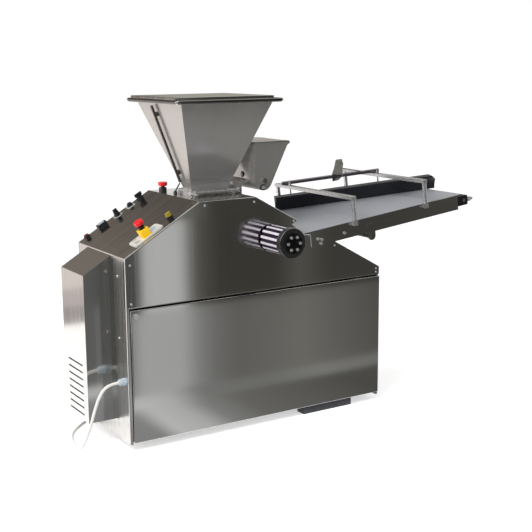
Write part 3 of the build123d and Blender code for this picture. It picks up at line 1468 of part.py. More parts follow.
with BuildPart() as estop_box:
    with BuildSketch(control_face(LEGEND_T)):
        with Locations((ESTOP_U, ESTOP_Y)):
            RectangleRounded(ESTOP_BOX, ESTOP_BOX, 5)
    extrude(amount=ESTOP_BOX_H)
    fillet(estop_box.faces().sort_by(Axis.Z)[-1].edges(), 2)
    with BuildSketch(control_face(LEGEND_T + ESTOP_BOX_H)):
        with Locations((ESTOP_U, ESTOP_Y)):
            Circle(ESTOP_STEM_R + RUN_FIT)
    extrude(amount=-20, mode=Mode.SUBTRACT)
save(estop_box, "estop_box")


def mushroom(plane, stem):
    """Mushroom head on a stem; the plane is the seat that it is pressed towards."""
    with BuildPart() as head:
        with BuildSketch(plane.offset(-stem)):
            Circle(ESTOP_STEM_R)
        extrude(amount=stem + ESTOP_STROKE + CONTROL_GAP)
        with BuildSketch(plane.offset(ESTOP_STROKE + CONTROL_GAP)):
            Circle(ESTOP_R - 3)
        extrude(amount=4)
        with BuildSketch(plane.offset(ESTOP_STROKE + CONTROL_GAP + 4)):
            Circle(ESTOP_R)
        extrude(amount=ESTOP_HEAD - 4)
        fillet(head.edges().filter_by(GeomType.CIRCLE).sort_by(Axis(plane.origin, plane.z_dir))[-1], 3)
    return head


near_seat = control_face(LEGEND_T + ESTOP_BOX_H + ESTOP_COLLAR)
near_stop = Plane(
    origin=near_seat.from_local_coords(Vector(ESTOP_U, ESTOP_Y, 0)),
    x_dir=near_seat.x_dir,
    z_dir=near_seat.z_dir,
)
far_stop = Plane(origin=(X0 + FAR_STOP_X, Y0 + FAR_STOP_Y, TOP_HEIGHT + FAR_BASE))
near_head = mushroom(near_stop, ESTOP_COLLAR + 12)
save(near_head, "near_stop_head")
far_head = mushroom(far_stop, 8)
save(far_head, "far_stop_head")

# Fixed rings that the controls stand in, the meter and the stop switches' collars
with BuildPart() as control_bezels:
    for u, y, ring, bore in (
        (STOP_U, FAR_ROW, 14, 11),
        (SPEED_U, FAR_ROW, 14, 8),
        (START_U, FAR_ROW, 13, 10),
        (MODE_U, FAR_ROW - MODE_IN, 17, 8),
        (KEY_U, KEY_Y, 16, 8),
    ):
        with BuildSketch(control_face(0)):
            with Locations((u, y)):
                Circle(ring)
                Circle(bore + RUN_FIT, mode=Mode.SUBTRACT)
        extrude(amount=BEZEL_H)
    with BuildSketch(control_face(0)):
        with Locations((METER_U, FAR_ROW)):
            RectangleRounded(METER_LENGTH, METER_WIDTH, 3)
    extrude(amount=METER_H)
    with BuildSketch(control_face(LEGEND_T + ESTOP_BOX_H)):
        with Locations((ESTOP_U, ESTOP_Y)):
            Circle(ESTOP_COLLAR_R)
            Circle(ESTOP_STEM_R + RUN_FIT, mode=Mode.SUBTRACT)
    extrude(amount=ESTOP_COLLAR)
    with BuildSketch(Plane.XY.offset(TOP_HEIGHT)):
        with Locations((X0 + FAR_STOP_X, Y0 + FAR_STOP_Y)):
            Circle(FAR_BASE_R)
    extrude(amount=FAR_BASE)
    with BuildSketch(Plane.XY.offset(TOP_HEIGHT + FAR_BASE)):
        with Locations((X0 + FAR_STOP_X, Y0 + FAR_STOP_Y)):
            Circle(ESTOP_STEM_R + RUN_FIT)
    extrude(amount=1 - FAR_BASE, mode=Mode.SUBTRACT)
save(control_bezels, "control_bezels")

for name, u, r in (("stop_button", STOP_U, 11), ("start_button", START_U, 10)):
    with BuildPart() as button:
        with BuildSketch(control_face(BUTTON_STROKE + CONTROL_GAP)):
            with Locations((u, FAR_ROW)):
                Circle(r)
        extrude(amount=BEZEL_H + 2)
        fillet(button.edges().filter_by(GeomType.CIRCLE).sort_by(Axis.Z)[-1:], 1.5)
    save(button, name)

for name, u, y, knob_r, handle in (
    ("speed_knob", SPEED_U, FAR_ROW, 12, 21),
    ("mode_knob", MODE_U, FAR_ROW - MODE_IN, 13, 36),
    ("key_knob", KEY_U, KEY_Y, 13, 23),
):
    with BuildPart() as knob:
        with BuildSketch(control_face(CONTROL_GAP)):
            with Locations((u, y)):
                Circle(8)
        extrude(amount=BEZEL_H)
        with BuildSketch(control_face(BEZEL_H + CONTROL_GAP)):
            with Locations((u, y)):
                Circle(knob_r)
        extrude(amount=9)
        with BuildSketch(control_face(BEZEL_H + CONTROL_GAP + 9)):
            with Locations((u, y)):
                SlotOverall(handle, 10)
        extrude(amount=13)
    save(knob, name)

# Cable gland on the control end
gland_plane = Plane(origin=(X0, Y0 + GLAND_Y, GLAND_Z), x_dir=(0, -1, 0), z_dir=(-1, 0, 0))
with BuildPart() as cable_gland:
    with BuildSketch(gland_plane):
        RegularPolygon(16, 6)
    extrude(amount=10)
    with BuildSketch(gland_plane.offset(10)):
        Circle(14)
    extrude(amount=6)
    with BuildSketch(gland_plane.offset(16)):
        RegularPolygon(14.5, 6)
    extrude(amount=9)
    with BuildSketch(gland_plane.offset(25)):
        Circle(12.5)
    extrude(amount=GLAND_LENGTH - 25, taper=25)
save(cable_gland, "cable_gland")

# Power cord from the gland down to the floor and round behind the housing
coil_start = (COIL_X - COIL_OUT, COIL_Y - 2 * CORD_R, coil_low)
cord_points = [
    (-GLAND_LENGTH, GLAND_Y, GLAND_Z),
    (-78, 30, GLAND_Z - 1),
    (-112, 31, 252),
    (-132, 34, 198),
    (-148, 42, 134),
    (-160, 68, 66),
    (-164, 112, 17),
    (-161, 174, CORD_R),
    (-147, 264, CORD_R),
    (-108, 346, CORD_R),
    (-45, 412, CORD_R),
    (coil_start[0], coil_start[1] - 78, coil_low),
    coil_start,
]
cord_route = [Vector(X0 + x, Y0 + y, z) for x, y, z in cord_points]
cord_radii = []
for before, here, after in zip(cord_route, cord_route[1:], cord_route[2:]):
    turn = radians((here - before).get_angle(after - here))
    run = min((here - before).length, (after - here).length)
    cord_radii.append(0.45 * run / tan(turn / 2))
print("cord radii", [round(r) for r in cord_radii])
with BuildPart() as power_cord:
    with BuildLine() as cord_line:
        FilletPolyline(*cord_route, radius=cord_radii)
    with BuildSketch(Plane(origin=cord_route[0], z_dir=cord_route[1] - cord_route[0])):
        Circle(CORD_R)
    sweep()
save(power_cord, "power_cord")

# Coil: spirals in along the floor, climbs once and spirals out on top
half_step = COIL_STEP / 2
lower_reach = [COIL_OUT - half_step * k for k in range(6)]
climb_to = lower_reach[-1] - half_step
upper_reach = [climb_to] + [climb_to + COIL_STEP + half_step * k for k in range(5)]
stops = [(reach, coil_low) for reach in lower_reach] + [(reach, coil_high) for reach in upper_reach]


def coil_point(k):
    """Crossing k of the coil with the line through its middle."""
    reach, height = stops[k]
    way = -1 if k % 2 == 0 else 1
    return Vector(X0 + COIL_X + way * reach, Y0 + COIL_Y, height)


coil_arcs = []
for k in range(len(stops) - 1):
    first = coil_point(k)
    last = coil_point(k + 1)
    radius = (last - first).length / 2
    bulge = 1 if k % 2 == 0 else -1
    coil_arcs.append((first, (first + last) * 0.5 + Vector(0, bulge * radius, 0), last))
outermost = coil_arcs.pop()
last_mid = (outermost[0] + outermost[2]) * 0.5
last_radius = (outermost[2] - outermost[0]).length / 2
eighth = last_mid + Vector(-last_radius * cos(pi / 4), last_radius * sin(pi / 4), 0)
coil_arcs.append((outermost[0], eighth, outermost[1]))
lead_in = Vector(X0 + coil_start[0], Y0 + coil_start[1], coil_low)
lead_out = outermost[1] + Vector(COIL_LEAD, 0, 0)
with BuildPart() as cord_coil:
    with BuildLine():
        Line(lead_in, coil_arcs[0][0])
        for arc in coil_arcs:
            ThreePointArc(*arc)
        Line(outermost[1], lead_out)
    with BuildSketch(Plane(origin=lead_in, z_dir=(0, 1, 0))):
        Circle(CORD_R)
    sweep()
save(cord_coil, "cord_coil")
print("coil least gap", round(COIL_STEP - 2 * CORD_R, 2))

# Strap round the bundle and the plug at the end of the cord
bundle_in = lower_reach[5] - CORD_R - 1.3
bundle_out = lower_reach[1] + CORD_R + 1.3
strap_mid = X0 + COIL_X + (bundle_in + bundle_out) / 2
strap_high = coil_high + CORD_R + MOVE_GAP
with BuildPart() as cord_tie:
    with BuildSketch(Plane(origin=(strap_mid, Y0 + COIL_Y, 0), x_dir=(1, 0, 0), z_dir=(0, -1, 0))):
        with Locations((0, (strap_high + STRAP) / 2)):
            RectangleRounded(bundle_out - bundle_in + 2 * STRAP, strap_high + STRAP, 3)
            RectangleRounded(bundle_out - bundle_in, strap_high - STRAP, 1.5, mode=Mode.SUBTRACT)
    extrude(amount=STRAP_WIDTH / 2, both=True)
save(cord_tie, "cord_tie")

plug_plane = Plane(origin=lead_out, x_dir=(0, 1, 0), z_dir=(1, 0, 0))
with BuildPart() as cord_plug:
    with BuildSketch(plug_plane):
        Circle(CORD_R + 4)
    with BuildSketch(plug_plane.offset(22)):
        Circle(coil_high - 4)
    loft()
    with BuildSketch(plug_plane.offset(22)):
        Circle(coil_high - 2)
    extrude(amount=40)
    with BuildSketch(plug_plane.offset(62)):
        Circle(coil_high)
    extrude(amount=PLUG_LENGTH - 62)
    with BuildSketch(plug_plane.offset(PLUG_LENGTH)):
        Circle(coil_high - 3)
    extrude(amount=-26, mode=Mode.SUBTRACT)
    with BuildSketch(plug_plane.offset(PLUG_LENGTH - 26)):
        with PolarLocations(10, 5):
            Circle(2.5)
    extrude(amount=20)
save(cord_plug, "cord_plug")
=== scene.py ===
# %% [markdown]
# # A dough divider, dressed
# The solids of the machine are made in CAD and packed as a fixed frame.
# This lesson loads that frame, gives every sheet, casting and knob its finish,
# adds the thin plates and marks of the controls, lays the power cord,
# and sets up the studio and the camera.

# %% Load the frame
from math import atan2, cos, hypot, pi, radians, sin

import bmesh
import bpy
from mathutils import Matrix, Vector


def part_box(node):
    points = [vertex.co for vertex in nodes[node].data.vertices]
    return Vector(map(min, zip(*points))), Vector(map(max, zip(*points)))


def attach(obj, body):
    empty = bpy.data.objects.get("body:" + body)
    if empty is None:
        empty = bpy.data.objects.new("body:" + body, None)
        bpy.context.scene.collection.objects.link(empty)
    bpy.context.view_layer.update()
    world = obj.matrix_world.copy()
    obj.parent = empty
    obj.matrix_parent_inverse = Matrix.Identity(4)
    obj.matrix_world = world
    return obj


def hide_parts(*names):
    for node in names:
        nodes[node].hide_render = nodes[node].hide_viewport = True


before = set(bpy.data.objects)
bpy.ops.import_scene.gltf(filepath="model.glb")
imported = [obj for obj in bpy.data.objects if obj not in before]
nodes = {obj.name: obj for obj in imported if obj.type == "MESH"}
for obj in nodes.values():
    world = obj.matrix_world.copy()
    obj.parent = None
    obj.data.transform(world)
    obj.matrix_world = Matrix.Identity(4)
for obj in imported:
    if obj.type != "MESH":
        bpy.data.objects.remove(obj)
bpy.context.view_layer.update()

# %% [markdown]
# Sizes in this lesson are millimetres from one corner of the machine: X from the control end,
# Y from the operator's side, Z from the floor. One function turns them into the frame's metres.
# The corner is read from two panels, so nothing has to be fitted by hand.

# %% The machine's corner
MM = 0.001
corner = Vector((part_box("end_panels")[0].x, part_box("near_upper_panel")[0].y, 0))


def at(x, y, z):
    """A place on the machine in millimetres, as a point of the frame."""
    return corner + Vector((x, y, z)) * MM


print("corner", [round(v, 4) for v in corner])

# %% [markdown]
# The photograph was taken from the control end with a fairly long lens.
# A camera is set by three directions: to the right, up, and back from the view.
# Building its matrix from them keeps the small tilt of the hand-held shot.

# %% Camera
EYE = at(-1647.6, -3664.6, 1543.5)
YAW = radians(32.03)
PITCH = radians(11.12)
ROLL = radians(-0.41)
SENSOR = 36.0
LENS = 70.91

forward = Vector((sin(YAW) * cos(PITCH), cos(YAW) * cos(PITCH), -sin(PITCH)))
level = Vector((cos(YAW), -sin(YAW), 0))
lifted = level.cross(forward)
right = level * cos(ROLL) + lifted * sin(ROLL)
upward = lifted * cos(ROLL) - level * sin(ROLL)
lens = bpy.data.cameras.new("camera")
lens.sensor_width = SENSOR
lens.lens = LENS
camera = bpy.data.objects.new("camera", lens)
turn = Matrix((right, upward, -forward)).transposed().to_4x4()
camera.matrix_world = Matrix.Translation(EYE) @ turn
bpy.context.scene.collection.objects.link(camera)
bpy.context.scene.camera = camera
bpy.context.scene.view_settings.view_transform = "Standard"
print("camera at", [round(v, 3) for v in EYE])

# %% [markdown]
# Materials are node trees. One helper turns a colour written as sRGB hex into the linear numbers
# that shaders want, one fills a node's inputs, and one adds a node. The rest is said where a
# finish is made, so each finish can be read from top to bottom.


# %% Helpers for materials
def linear(code):
    """sRGB hex, such as 8c9199, as linear red, green, blue and alpha."""
    shares = [int(code[i:i + 2], 16) / 255 for i in (0, 2, 4)]
    return [s / 12.92 if s <= 0.04045 else ((s + 0.055) / 1.055) ** 2.4 for s in shares] + [1.0]


def feed(tree, node, sockets):
    """Fills a node's inputs, by name or number, with values or with outputs of other nodes."""
    for name, value in sockets.items():
        if isinstance(value, bpy.types.NodeSocket):
            tree.links.new(value, node.inputs[name])
        else:
            node.inputs[name].default_value = value
    return node


def add(tree, kind, sockets=None, **settings):
    """Adds a node with its own settings and fills its inputs."""
    node = tree.nodes.new(kind)
    for field, value in settings.items():
        setattr(node, field, value)
    return feed(tree, node, sockets or {})


def start(name):
    """A new material: itself, its tree, its shader, and places on the piece in metres."""
    made = bpy.data.materials.new(name)
    made.use_nodes = True
    tree = made.node_tree
    return made, tree, tree.nodes["Principled BSDF"], add(tree, "ShaderNodeTexCoord").outputs["Object"]


NOISE_SPAN = {"From Min": 0.3, "From Max": 0.7}
print("white is", [round(v, 3) for v in linear("ffffff")])

# %% [markdown]
# Most of the machine is stainless sheet, brushed in one direction with a fine belt.
# The eye sees long faint streaks along the brushing, a soft mirror of the room, and slow waves
# where the thin sheet isn't quite flat. Real brush lines are about 0.2 mm wide, too fine for the
# picture, so the streaks are drawn some millimetres wide. Steel has no colour of its own to
# speak of: what looks dark or pink on it is the room. The hopper is blasted before it is brushed,
# so it scatters some light and looks flatter than the panels.

# %% Brushed stainless sheet
SWELL = 480.0
SWELL_DEPTH = 6.0
STREAK_DEPTH = 0.4


def brushed_sheet(name, streak, rough=(0.09, 0.15), dark="c3c3c2", light="cfcfce", wave=0.3,
                  scratch=0.08, metallic=1.0):
    """Streak is the size of a brush mark in millimetres along X, Y and Z."""
    made, tree, shader, spot = start(name)
    along = add(tree, "ShaderNodeMapping", {"Vector": spot, "Scale": [1 / (s * MM) for s in streak]})
    marks = add(tree, "ShaderNodeTexNoise", {"Vector": along.outputs[0], "Scale": 1.0, "Detail": 3.0})
    slow = add(tree, "ShaderNodeTexNoise", {"Vector": spot, "Scale": 1 / (SWELL * MM), "Detail": 1.0})
    tone = add(tree, "ShaderNodeMix", {0: marks.outputs[0], 6: linear(dark), 7: linear(light)},
               data_type="RGBA")
    gloss = add(tree, "ShaderNodeMapRange", {"Value": marks.outputs[0], **NOISE_SPAN,
                                             "To Min": rough[0], "To Max": rough[1]})
    swell = add(tree, "ShaderNodeBump", {"Height": slow.outputs[0], "Strength": wave,
                                         "Distance": SWELL_DEPTH * MM})
    skin = add(tree, "ShaderNodeBump", {"Height": marks.outputs[0], "Strength": scratch,
                                        "Distance": STREAK_DEPTH * MM, "Normal": swell.outputs[0]})
    feed(tree, shader, {"Base Color": tone.outputs[2], "Roughness": gloss.outputs[0],
                        "Normal": skin.outputs[0], "Metallic": metallic})
    return made


UPRIGHT = (5, 5, 700)
LENGTHWISE = (700, 5, 500)
BELTWISE = (700, 6, 6)
DOWN_WALLS = (14, 900, 900)
DOWN_SLOPE = (900, 12, 900)
wall_sheet = brushed_sheet("stainless_brushed_upright", UPRIGHT)
door_sheet = brushed_sheet("stainless_brushed_door", LENGTHWISE)
slope_sheet = brushed_sheet("stainless_brushed_top", DOWN_SLOPE, (0.1, 0.18), "94928f", "e0dedb", 0.2)
rail_sheet = brushed_sheet("stainless_brushed_rail", BELTWISE, rough=(0.12, 0.2), wave=0.15)
end_sheet = brushed_sheet("stainless_satin_end", UPRIGHT, rough=(0.24, 0.33), wave=0.2)
hopper_sheet = brushed_sheet("stainless_satin_hopper", DOWN_WALLS, (0.17, 0.22), "bababa", "c2c2c1",
                             wave=0.2, scratch=0.01, metallic=0.72)
print("sheet finishes", 6)

# %% [markdown]
# Turned and polished pieces: rods and bolts are polished bar, inner parts are plain machined
# steel, screws are dull zinc that looks pale from every side. A polished metal has little grain
# of its own, only a faint clouding. The handwheel is violet aluminium: its lands are pale and
# less metallic as a painted highlight, and its flutes are darker as painted shade in the grooves.

# %% Polished, machined and anodised metal
CLOUD_DEPTH = 0.3


def turned_metal(name, dark, light, rough, speck=(14, 14, 14), bump=0.05, metallic=1.0):
    """Speck is the size of a cloud or tool mark in millimetres along X, Y and Z."""
    made, tree, shader, spot = start(name)
    place = add(tree, "ShaderNodeMapping", {"Vector": spot, "Scale": [1 / (s * MM) for s in speck]})
    cloud = add(tree, "ShaderNodeTexNoise", {"Vector": place.outputs[0], "Scale": 1.0, "Detail": 3.0})
    tone = add(tree, "ShaderNodeMix", {0: cloud.outputs[0], 6: linear(dark), 7: linear(light)},
               data_type="RGBA")
    gloss = add(tree, "ShaderNodeMapRange", {"Value": cloud.outputs[0], **NOISE_SPAN,
                                             "To Min": rough[0], "To Max": rough[1]})
    skin = add(tree, "ShaderNodeBump", {"Height": cloud.outputs[0], "Strength": bump,
                                        "Distance": CLOUD_DEPTH * MM})
    feed(tree, shader, {"Base Color": tone.outputs[2], "Roughness": gloss.outputs[0],
                        "Normal": skin.outputs[0], "Metallic": metallic})
    return made


FINE = (9, 9, 9)
# The lands' pale, weakly metallic base is a painted highlight; the flutes' dark base is painted shade.
wheel_land_painted_highlight = turned_metal("aluminium_violet_painted_highlight", "e6e0f0", "f4f1f8", (0.2, 0.28), metallic=0.25)
wheel_flute_painted_shade = turned_metal("aluminium_flute_painted_shade", "2f2540", "463a58", (0.25, 0.35), metallic=0.6)
# The handwheel's flange steel is darkened as a painted dark reflection.
wheel_rim_painted_dark_reflection = turned_metal("steel_flange_painted_dark_reflection", "77777c", "8f8f94", (0.25, 0.36), FINE)
bright_bar = turned_metal("steel_polished_bar", "d2d3d6", "e3e3e4", (0.14, 0.24))
zinc = turned_metal("steel_zinc_plated", "c2c3c5", "d4d5d6", (0.32, 0.46), FINE, metallic=0.7)
machined = turned_metal("steel_machined", "a3a3a2", "b8b8b6", (0.3, 0.42), FINE)
# Dark oiled steel for the chain and the wheel's cap; on the duster washers it is painted shadow.
oiled_dark_and_painted_shade = turned_metal("steel_oiled_dark_and_painted_shade", "3c3a40", "4c4a50", (0.28, 0.4), FINE)
# The tie rod's darker base is a painted dark reflection on polished steel.
rod_steel_painted_dark_reflection = turned_metal("steel_rod_painted_dark_reflection", "77717a", "8c868d", (0.22, 0.34), FINE)
lever_steel = turned_metal("steel_lever_plate", "7d7d76", "92928a", (0.35, 0.45), FINE, metallic=0.25)
# The rim rod is polished steel; its dark base is a painted dark reflection.
rim_steel_painted_dark_reflection = turned_metal("steel_rim_painted_dark_reflection", "6c6b69", "807f7b", (0.16, 0.26))
post_steel = turned_metal("stainless_ground_bar", "c4c6ca", "d6d8da", (0.24, 0.32), bump=0.01,
                          metallic=0.8)
conduit = turned_metal("steel_conduit_dark", "55524f", "66635f", (0.3, 0.42), FINE)
turned_alloy = turned_metal("aluminium_turned", "c4c5c8", "d6d7d9", (0.25, 0.36), (400, 3, 3))
print("metal finishes", 13)

# %% [markdown]
# Castings and frame tubes are painted. Paint on a casting has a slight orange peel,
# and the skids are scuffed paler where they have been dragged.

# %% Paint
PATCH = 60.0
PEEL_DEPTH = 0.3


def painted(name, dark, light, rough=(0.4, 0.55), peel=4.0, bump=0.15):
    """Peel is the size of the orange peel in millimetres."""
    made, tree, shader, spot = start(name)
    patch = add(tree, "ShaderNodeTexNoise", {"Vector": spot, "Scale": 1 / (PATCH * MM), "Detail": 4.0})
    ripple = add(tree, "ShaderNodeTexNoise", {"Vector": spot, "Scale": 1 / (peel * MM), "Detail": 2.0})
    tone = add(tree, "ShaderNodeMix", {0: patch.outputs[0], 6: linear(dark), 7: linear(light)},
               data_type="RGBA")
    gloss = add(tree, "ShaderNodeMapRange", {"Value": patch.outputs[0], **NOISE_SPAN,
                                             "To Min": rough[0], "To Max": rough[1]})
    skin = add(tree, "ShaderNodeBump", {"Height": ripple.outputs[0], "Strength": bump,
                                        "Distance": PEEL_DEPTH * MM})
    feed(tree, shader, {"Base Color": tone.outputs[2], "Roughness": gloss.outputs[0],
                        "Normal": skin.outputs[0]})
    return made


frame_paint = painted("paint_frame_grey", "4c4e52", "5a5c60")
skid_paint = painted("paint_skid_bluegrey", "33363c", "43474e")
casting_paint = painted("paint_casting_grey", "6a6c6d", "777979", peel=3.0, bump=0.3)
print("paints", 3)

# %% [markdown]
# Plastics and rubber: the belt is a woven carrier with a smooth pale cover, the rounding bar a
# solid engineering plastic that was sawn and scraped, the controls are moulded. Moulded plastic
# shows a fine spark grain in its sheen and hardly any change of colour.

# %% Moulded plastic
MOTTLE = 6.0
SPARK_DEPTH = 0.2


def moulded(name, dark, light, rough=(0.32, 0.45), speck=3.0, bump=0.1):
    """Speck is the size of the grain in millimetres; the mottle is some times as large."""
    made, tree, shader, spot = start(name)
    mottle = add(tree, "ShaderNodeTexNoise", {"Vector": spot, "Scale": 1 / (MOTTLE * speck * MM),
                                              "Detail": 3.0})
    spark = add(tree, "ShaderNodeTexNoise", {"Vector": spot, "Scale": 1 / (speck * MM), "Detail": 2.0})
    tone = add(tree, "ShaderNodeMix", {0: mottle.outputs[0], 6: linear(dark), 7: linear(light)},
               data_type="RGBA")
    gloss = add(tree, "ShaderNodeMapRange", {"Value": mottle.outputs[0], **NOISE_SPAN,
                                             "To Min": rough[0], "To Max": rough[1]})
    skin = add(tree, "ShaderNodeBump", {"Height": spark.outputs[0], "Strength": bump,
                                        "Distance": SPARK_DEPTH * MM})
    feed(tree, shader, {"Base Color": tone.outputs[2], "Roughness": gloss.outputs[0],
                        "Normal": skin.outputs[0], "IOR": 1.5})
    return made


belt_cover = moulded("polyurethane_belt_cover", "9ea2a9", "aaafb6", (0.4, 0.55), 2.0, 0.15)
bar_plastic = moulded("polyethylene_bar_black", "191b21", "24272e", (0.32, 0.48), 5.0, 0.25)
black_plastic = moulded("polyamide_black", "121214", "1d1d20", (0.3, 0.42))
red_plastic = moulded("abs_red", "c8101a", "d81c22", (0.22, 0.32), 3.0, 0.06)
dark_red = moulded("abs_dark_red", "5a1016", "6c161c", (0.25, 0.35), 3.0, 0.06)
yellow_plastic = moulded("abs_yellow", "e9b800", "f4c80a", (0.28, 0.38), 3.0, 0.06)
olive_plastic = moulded("abs_olive_yellow", "8a7c1c", "a09228", (0.25, 0.35))
gland_plastic = moulded("polyamide_gland_grey", "9fb0bd", "b3c2cd", (0.4, 0.5))
sheath = moulded("pvc_cord_sheath", "cfd0cf", "dcdddc", (0.42, 0.55), 3.0, 0.08)
legend_white = moulded("laminate_legend_white", "b2b4b0", "bfc1bd", (0.25, 0.35), 4.0, 0.04)
window_blue = moulded("acrylic_window_bluegrey", "93a6b0", "a3b6bf", (0.12, 0.2), 4.0, 0.02)
orange_mark = moulded("laminate_mark_orange", "e08a1e", "ec9a2a", (0.3, 0.4), 2.0, 0.04)
plate_grey = moulded("laminate_plate_grey", "8d9693", "9ea7a4", (0.25, 0.35), 4.0, 0.04)
ink = moulded("laminate_ink_dark", "2c2d30", "383a3d", (0.4, 0.5), 2.0, 0.04)
strap_black = moulded("nylon_strap_black", "16171a", "26272b", (0.6, 0.8), 0.8, 0.4)
print("plastics", 15)

# %% [markdown]
# The CAD solids keep their shapes, so a finish is given by filling their material slots.

# %% Finishes on the solids
FINISHES = {
    wall_sheet: "near_upper_panel far_panel vent_box",
    end_sheet: "end_panels",
    door_sheet: "side_door",
    slope_sheet: "top_covers lower_cover duster_lid hopper_lid",
    rail_sheet: "conveyor_frame conveyor_supports",
    hopper_sheet: "hopper hopper_seat duster_trough lid_switch",
    wheel_land_painted_highlight: "portion_handwheel",
    bright_bar: "hanger_screws spindle_bush",
    post_steel: "portal_frames clamp_rod",
    rim_steel_painted_dark_reflection: "rim_rod",
    zinc: "screws_and_bolts door_lock",
    rod_steel_painted_dark_reflection: "tie_rod",
    machined: "divider_drum measuring_pistons drum_shaft motor_sprocket ram_piston ram_cylinder "
              "drum_cheeks",
    turned_alloy: "drive_roller tail_roller duster_roller",
    oiled_dark_and_painted_shade: "drive_chain handwheel_cap",
    frame_paint: "base_frame electrics_box",
    skid_paint: "skid_feet",
    casting_paint: "dough_chamber gear_motor",
    belt_cover: "conveyor_belt",
    bar_plastic: "rounding_bar",
    black_plastic: "tension_blocks control_bezels start_button stop_button speed_knob mode_knob "
                   "switch_lead cord_plug",
    red_plastic: "near_stop_head far_stop_head",
    yellow_plastic: "estop_box",
    olive_plastic: "key_knob",
    gland_plastic: "cable_gland",
    legend_white: "legend_plate",
    sheath: "power_cord cord_coil",
    strap_black: "cord_tie",
}
for finish, names in FINISHES.items():
    for name in names.split():
        nodes[name].data.materials.clear()
        nodes[name].data.materials.append(finish)
bare = sorted(set(nodes) - {name for names in FINISHES.values() for name in names.split()})
print("nodes without a finish", bare)

# %% [markdown]
# Some solids carry two finishes: the handwheel's flutes are painted darker than its lands, as
# painted shade, and a stop switch has a red head on a black stem. A mesh holds a list of materials
# and each face says which one it takes, so the faces are picked by where their middles lie.

# %% Two finishes on one solid
TAIL_HEIGHT = 792.0
TOP_HEIGHT = 990.0
TOP_START = 334.0
slope_angle = atan2(TOP_HEIGHT - TAIL_HEIGHT, TOP_START)


def over_slope(x, z):
    """How far a place stands off the control slope, square to it."""
    return (z - TAIL_HEIGHT) * cos(slope_angle) - x * sin(slope_angle)


def second_finish(name, finish, picked):
    """Gives the faces whose middles are picked, by their place in millimetres, another finish."""
    mesh = nodes[name].data
    mesh.materials.append(finish)
    faces = [f for f in mesh.polygons if picked(*((f.center - corner) / MM))]
    for face in faces:
        face.material_index = len(mesh.materials) - 1
    print(name, finish.name, len(faces), "of", len(mesh.polygons), "faces")


WHEEL_X = 669.0
WHEEL_Z = 812.0
LAND_R = 55.8
BARREL_START = -10.0
BARREL_END = -139.0
CAP_FACE = -178.3
CAP_BOLTS_R = 15.0
# The flutes take the darker material as painted shade in the grooves.
second_finish("portion_handwheel", wheel_flute_painted_shade,
              lambda x, y, z: hypot(x - WHEEL_X, z - WHEEL_Z) < LAND_R and BARREL_END < y < BARREL_START)
# The flange takes the darkened steel, a painted dark reflection.
second_finish("portion_handwheel", wheel_rim_painted_dark_reflection, lambda x, y, z: y < BARREL_END)
second_finish("handwheel_cap", zinc,
              lambda x, y, z: y < CAP_FACE and hypot(x - WHEEL_X, z - WHEEL_Z) > CAP_BOLTS_R)
CONDUIT_TOP = 1365.0
NEAR_STEM = 56.3
FAR_STEM = 1012.3
KEY_STEM = 19.3
BUTTON_FACE = 15.9
second_finish("lid_switch", conduit, lambda x, y, z: z < CONDUIT_TOP)
second_finish("near_stop_head", black_plastic, lambda x, y, z: over_slope(x, z) < NEAR_STEM)
second_finish("far_stop_head", black_plastic, lambda x, y, z: z < FAR_STEM)
second_finish("key_knob", black_plastic, lambda x, y, z: over_slope(x, z) < KEY_STEM)
second_finish("stop_button", dark_red, lambda x, y, z: over_slope(x, z) > BUTTON_FACE)

# %% [markdown]
# The tie rod's lever plate is a different steel from the rod. The rod lies askew, so its axis is
# taken from the rings of vertices at its two ends, and the plate is what lies further from that
# line than the collar does.

# %% Lever plate on the tie rod
ROD_END = 7.0
COLLAR_R = 14.5
rod_spots = [(v.co - corner) / MM for v in nodes["tie_rod"].data.vertices]
rod_low = min(p.x for p in rod_spots)
rod_high = max(p.x for p in rod_spots)
low_ring = [p for p in rod_spots if p.x < rod_low + ROD_END]
high_ring = [p for p in rod_spots if p.x > rod_high - ROD_END]
rod_start = sum(low_ring, Vector()) / len(low_ring)
rod_along = (sum(high_ring, Vector()) / len(high_ring) - rod_start).normalized()
second_finish("tie_rod", lever_steel,
              lambda x, y, z: (Vector((x, y, z)) - rod_start).cross(rod_along).length > COLLAR_R)

# %% [markdown]
# The controls have thin plates and printed marks: a scale round the speed knob, a plate round the
# start button, a window on the meter and on the legend plate. Each is a thin slab, so one builder
# makes them all from outlines. A place function says where the slab's own flat lies on the
# machine, here on the control slope.


# %% Slabs from outlines
def oval(a, b, half_a, half_b, square=2, count=32):
    """A closed outline round a place: square 2 is an ellipse, 10 is nearly a box."""
    points = []
    for step in range(count):
        angle = 2 * pi * (step + 0.5) / count
        reach = (abs(cos(angle)) ** square + abs(sin(angle)) ** square) ** (-1 / square)
        points.append((a + half_a * reach * cos(angle), b + half_b * reach * sin(angle)))
    return points


def bar(a, b, length, width, turned=0.0):
    """A narrow mark, its long side turned from the first direction."""
    ends = ((-0.5, -0.5), (0.5, -0.5), (0.5, 0.5), (-0.5, 0.5))
    return [(a + s * length * cos(turned) - t * width * sin(turned),
             b + s * length * sin(turned) + t * width * cos(turned)) for s, t in ends]


